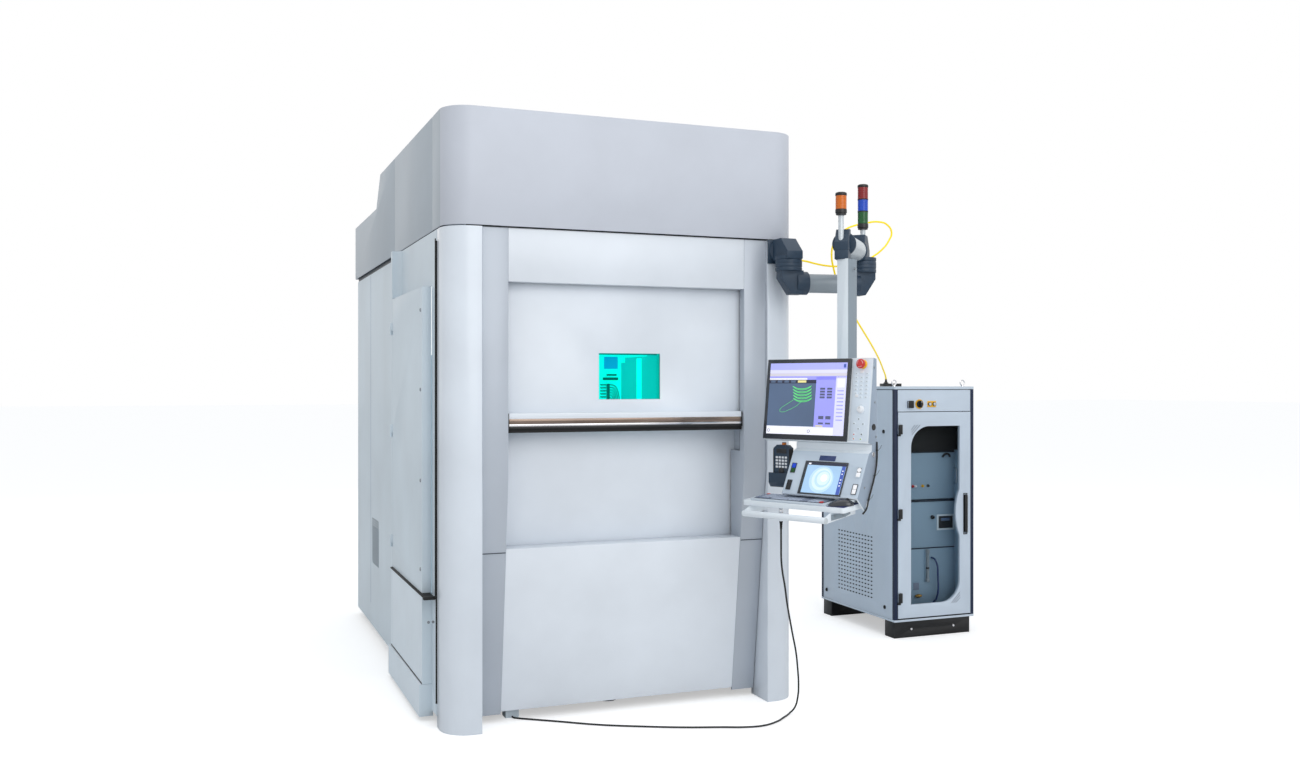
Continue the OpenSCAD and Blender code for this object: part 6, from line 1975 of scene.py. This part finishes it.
    def controls(self) -> None:
        """Builds the control row, the display and its knob behind the glass."""
        y = self.module_y
        dots = []
        for x, finish in ((0.197, STOP_RED), (0.215, KEY_WHITE), (0.266, STOP_YELLOW),
                          (0.304, BUTTON_BLACK)):
            dots.append((Bench.turned("control_dot", [
                (0.0085, 0.0), (0.0085, 0.004), (0.0066, 0.0050), (0.0060, 0.0120),
                (0.0048, 0.0136)], Place.panel(x, y, 0.868), 24), finish))
        self.group("control_row", dots, "module_steel")
        layers = []
        for low, high, edge, finish in (
                ((0.366, y - 0.004, 0.600), (0.492, y, 0.694), 0.0015, SIDE),
                ((0.378, y - 0.0058, 0.611), (0.478, y - 0.0035, 0.684), 0.001, BUTTON_BLACK),
                ((0.395, y - 0.0064, 0.655), (0.455, y - 0.0055, 0.672), 0.0003, UI_SLATE)):
            layers.append((Bench.block("display_plate", low, high, edge, Place.CABINET),
                           finish))
        self.group("cabinet_display", layers, "module_steel")
        self.lathe("cabinet_knob", [(0.0120, 0.0), (0.0120, 0.003), (0.0098, 0.0045),
                                    (0.0092, 0.0160), (0.0078, 0.0175)],
                   Place.panel(0.335, y, 0.680), 32, BLACK, "black")
        # Painted shadow: dark strips in the gaps between the modules.
        self.bars("bay_gap_shadows", [((self.bay[0], y - 0.0025, z - depth / 2 - 0.001),
                                (self.bay[1], y + 0.012, z + depth / 2))
                               for z, depth in ((0.4975, 0.004), (0.7785, 0.010),
                                                (1.069, 0.004))],
                  0.0008, GAP_SHADE, "dark_iron", at=Place.CABINET)
        self.screws("bay_screws", [(x, y, z) for pair in (
            (0.160, 0.482), (0.512, 0.763), (0.800, 1.052)) for x in (0.040, 0.510)
            for z in pair], 0.0048, "-Y", Place.CABINET)
        grips = [Bench.hose("bay_grip", [(x, y - out, z + up) for out, up in (
            (0.0, -0.045), (0.022, -0.043), (0.028, -0.030), (0.028, 0.030), (0.022, 0.043),
            (0.0, 0.045))], 0.0035, 4, Place.CABINET)
                 for x, z in ((0.062, 0.64), (0.062, 0.925), (0.488, 0.925))]
        self.fit(Bench.merged(grips, "bay_grips"), CHROME, "bright")
        curve = Bench.hose("module_hose", ((0.405, y - 0.004, 1.037), (0.420, y - 0.014, 1.056),
                                           (0.445, y - 0.014, 1.052), (0.458, y - 0.004, 1.040)),
                           0.006, 5, Place.CABINET)
        self.fit(curve, RUBBER, "rubber")

    def lower_bays(self) -> None:
        """Builds the flow meter, the small plate, the tap and the hoses of the lower bay."""
        y = self.module_y
        meter = Place.CABINET @ Matrix.Translation((0.292, 0.094, 0.298))
        self.lathe("flow_tube", [(0.0100, 0.0), (0.0135, 0.004), (0.0135, 0.016),
                                 (0.0095, 0.020), (0.0095, 0.170), (0.0135, 0.174),
                                 (0.0135, 0.188), (0.0100, 0.192)], meter, 28, TUBE_GREY,
                   "module_steel")
        self.lathe("flow_float", [(0.0060, 0.075), (0.0102, 0.078), (0.0102, 0.088),
                                  (0.0050, 0.094)], meter, 24, BUTTON_BLACK, "black")
        self.bars("bay_plate", [((0.203, y - 0.003, 0.252), (0.242, y, 0.295))], 0.001,
                  KEY_GREY, "module_steel", at=Place.CABINET)
        at = Place.CABINET @ Matrix.Translation((0.207, 0.095, 0.219)) @ Matrix.Rotation(
            math.radians(90), 4, "Y")
        self.lathe("drain_tap", [(0.0050, 0.0), (0.0075, 0.002), (0.0075, 0.012),
                                 (0.0110, 0.014), (0.0110, 0.030), (0.0070, 0.032),
                                 (0.0070, 0.041), (0.0050, 0.043)], at, 24, BRASS, "bright")
        hoses = [Bench.hose("bay_hose", route, 0.0055, 5, Place.CABINET) for route in (
            ((0.33, y, 0.44), (0.335, y - 0.03, 0.43), (0.352, y - 0.034, 0.33),
             (0.345, y - 0.03, 0.20), (0.340, y - 0.002, 0.17)),
            ((0.12, y, 0.46), (0.118, y - 0.028, 0.44), (0.105, y - 0.032, 0.30),
             (0.112, y - 0.028, 0.19), (0.115, y - 0.002, 0.165)))]
        self.fit(Bench.merged(hoses, "bay_hoses"), PLATE_BLUE, "navy")


def main() -> None:
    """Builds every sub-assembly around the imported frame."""
    logging.basicConfig(level=logging.INFO, format="%(message)s")
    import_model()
    Studio().build()
    for assembly in (Cords(), CellCovers(), LiftDoors(), ServiceDoor(), MotionUnit(),
                     SupportArm(), SignalLamps(), Console(), Tray(), LaserCabinet()):
        assembly.build()
    bpy.context.view_layer.update()
    LOG.info("size noted")


if __name__ == "__main__":
    main()
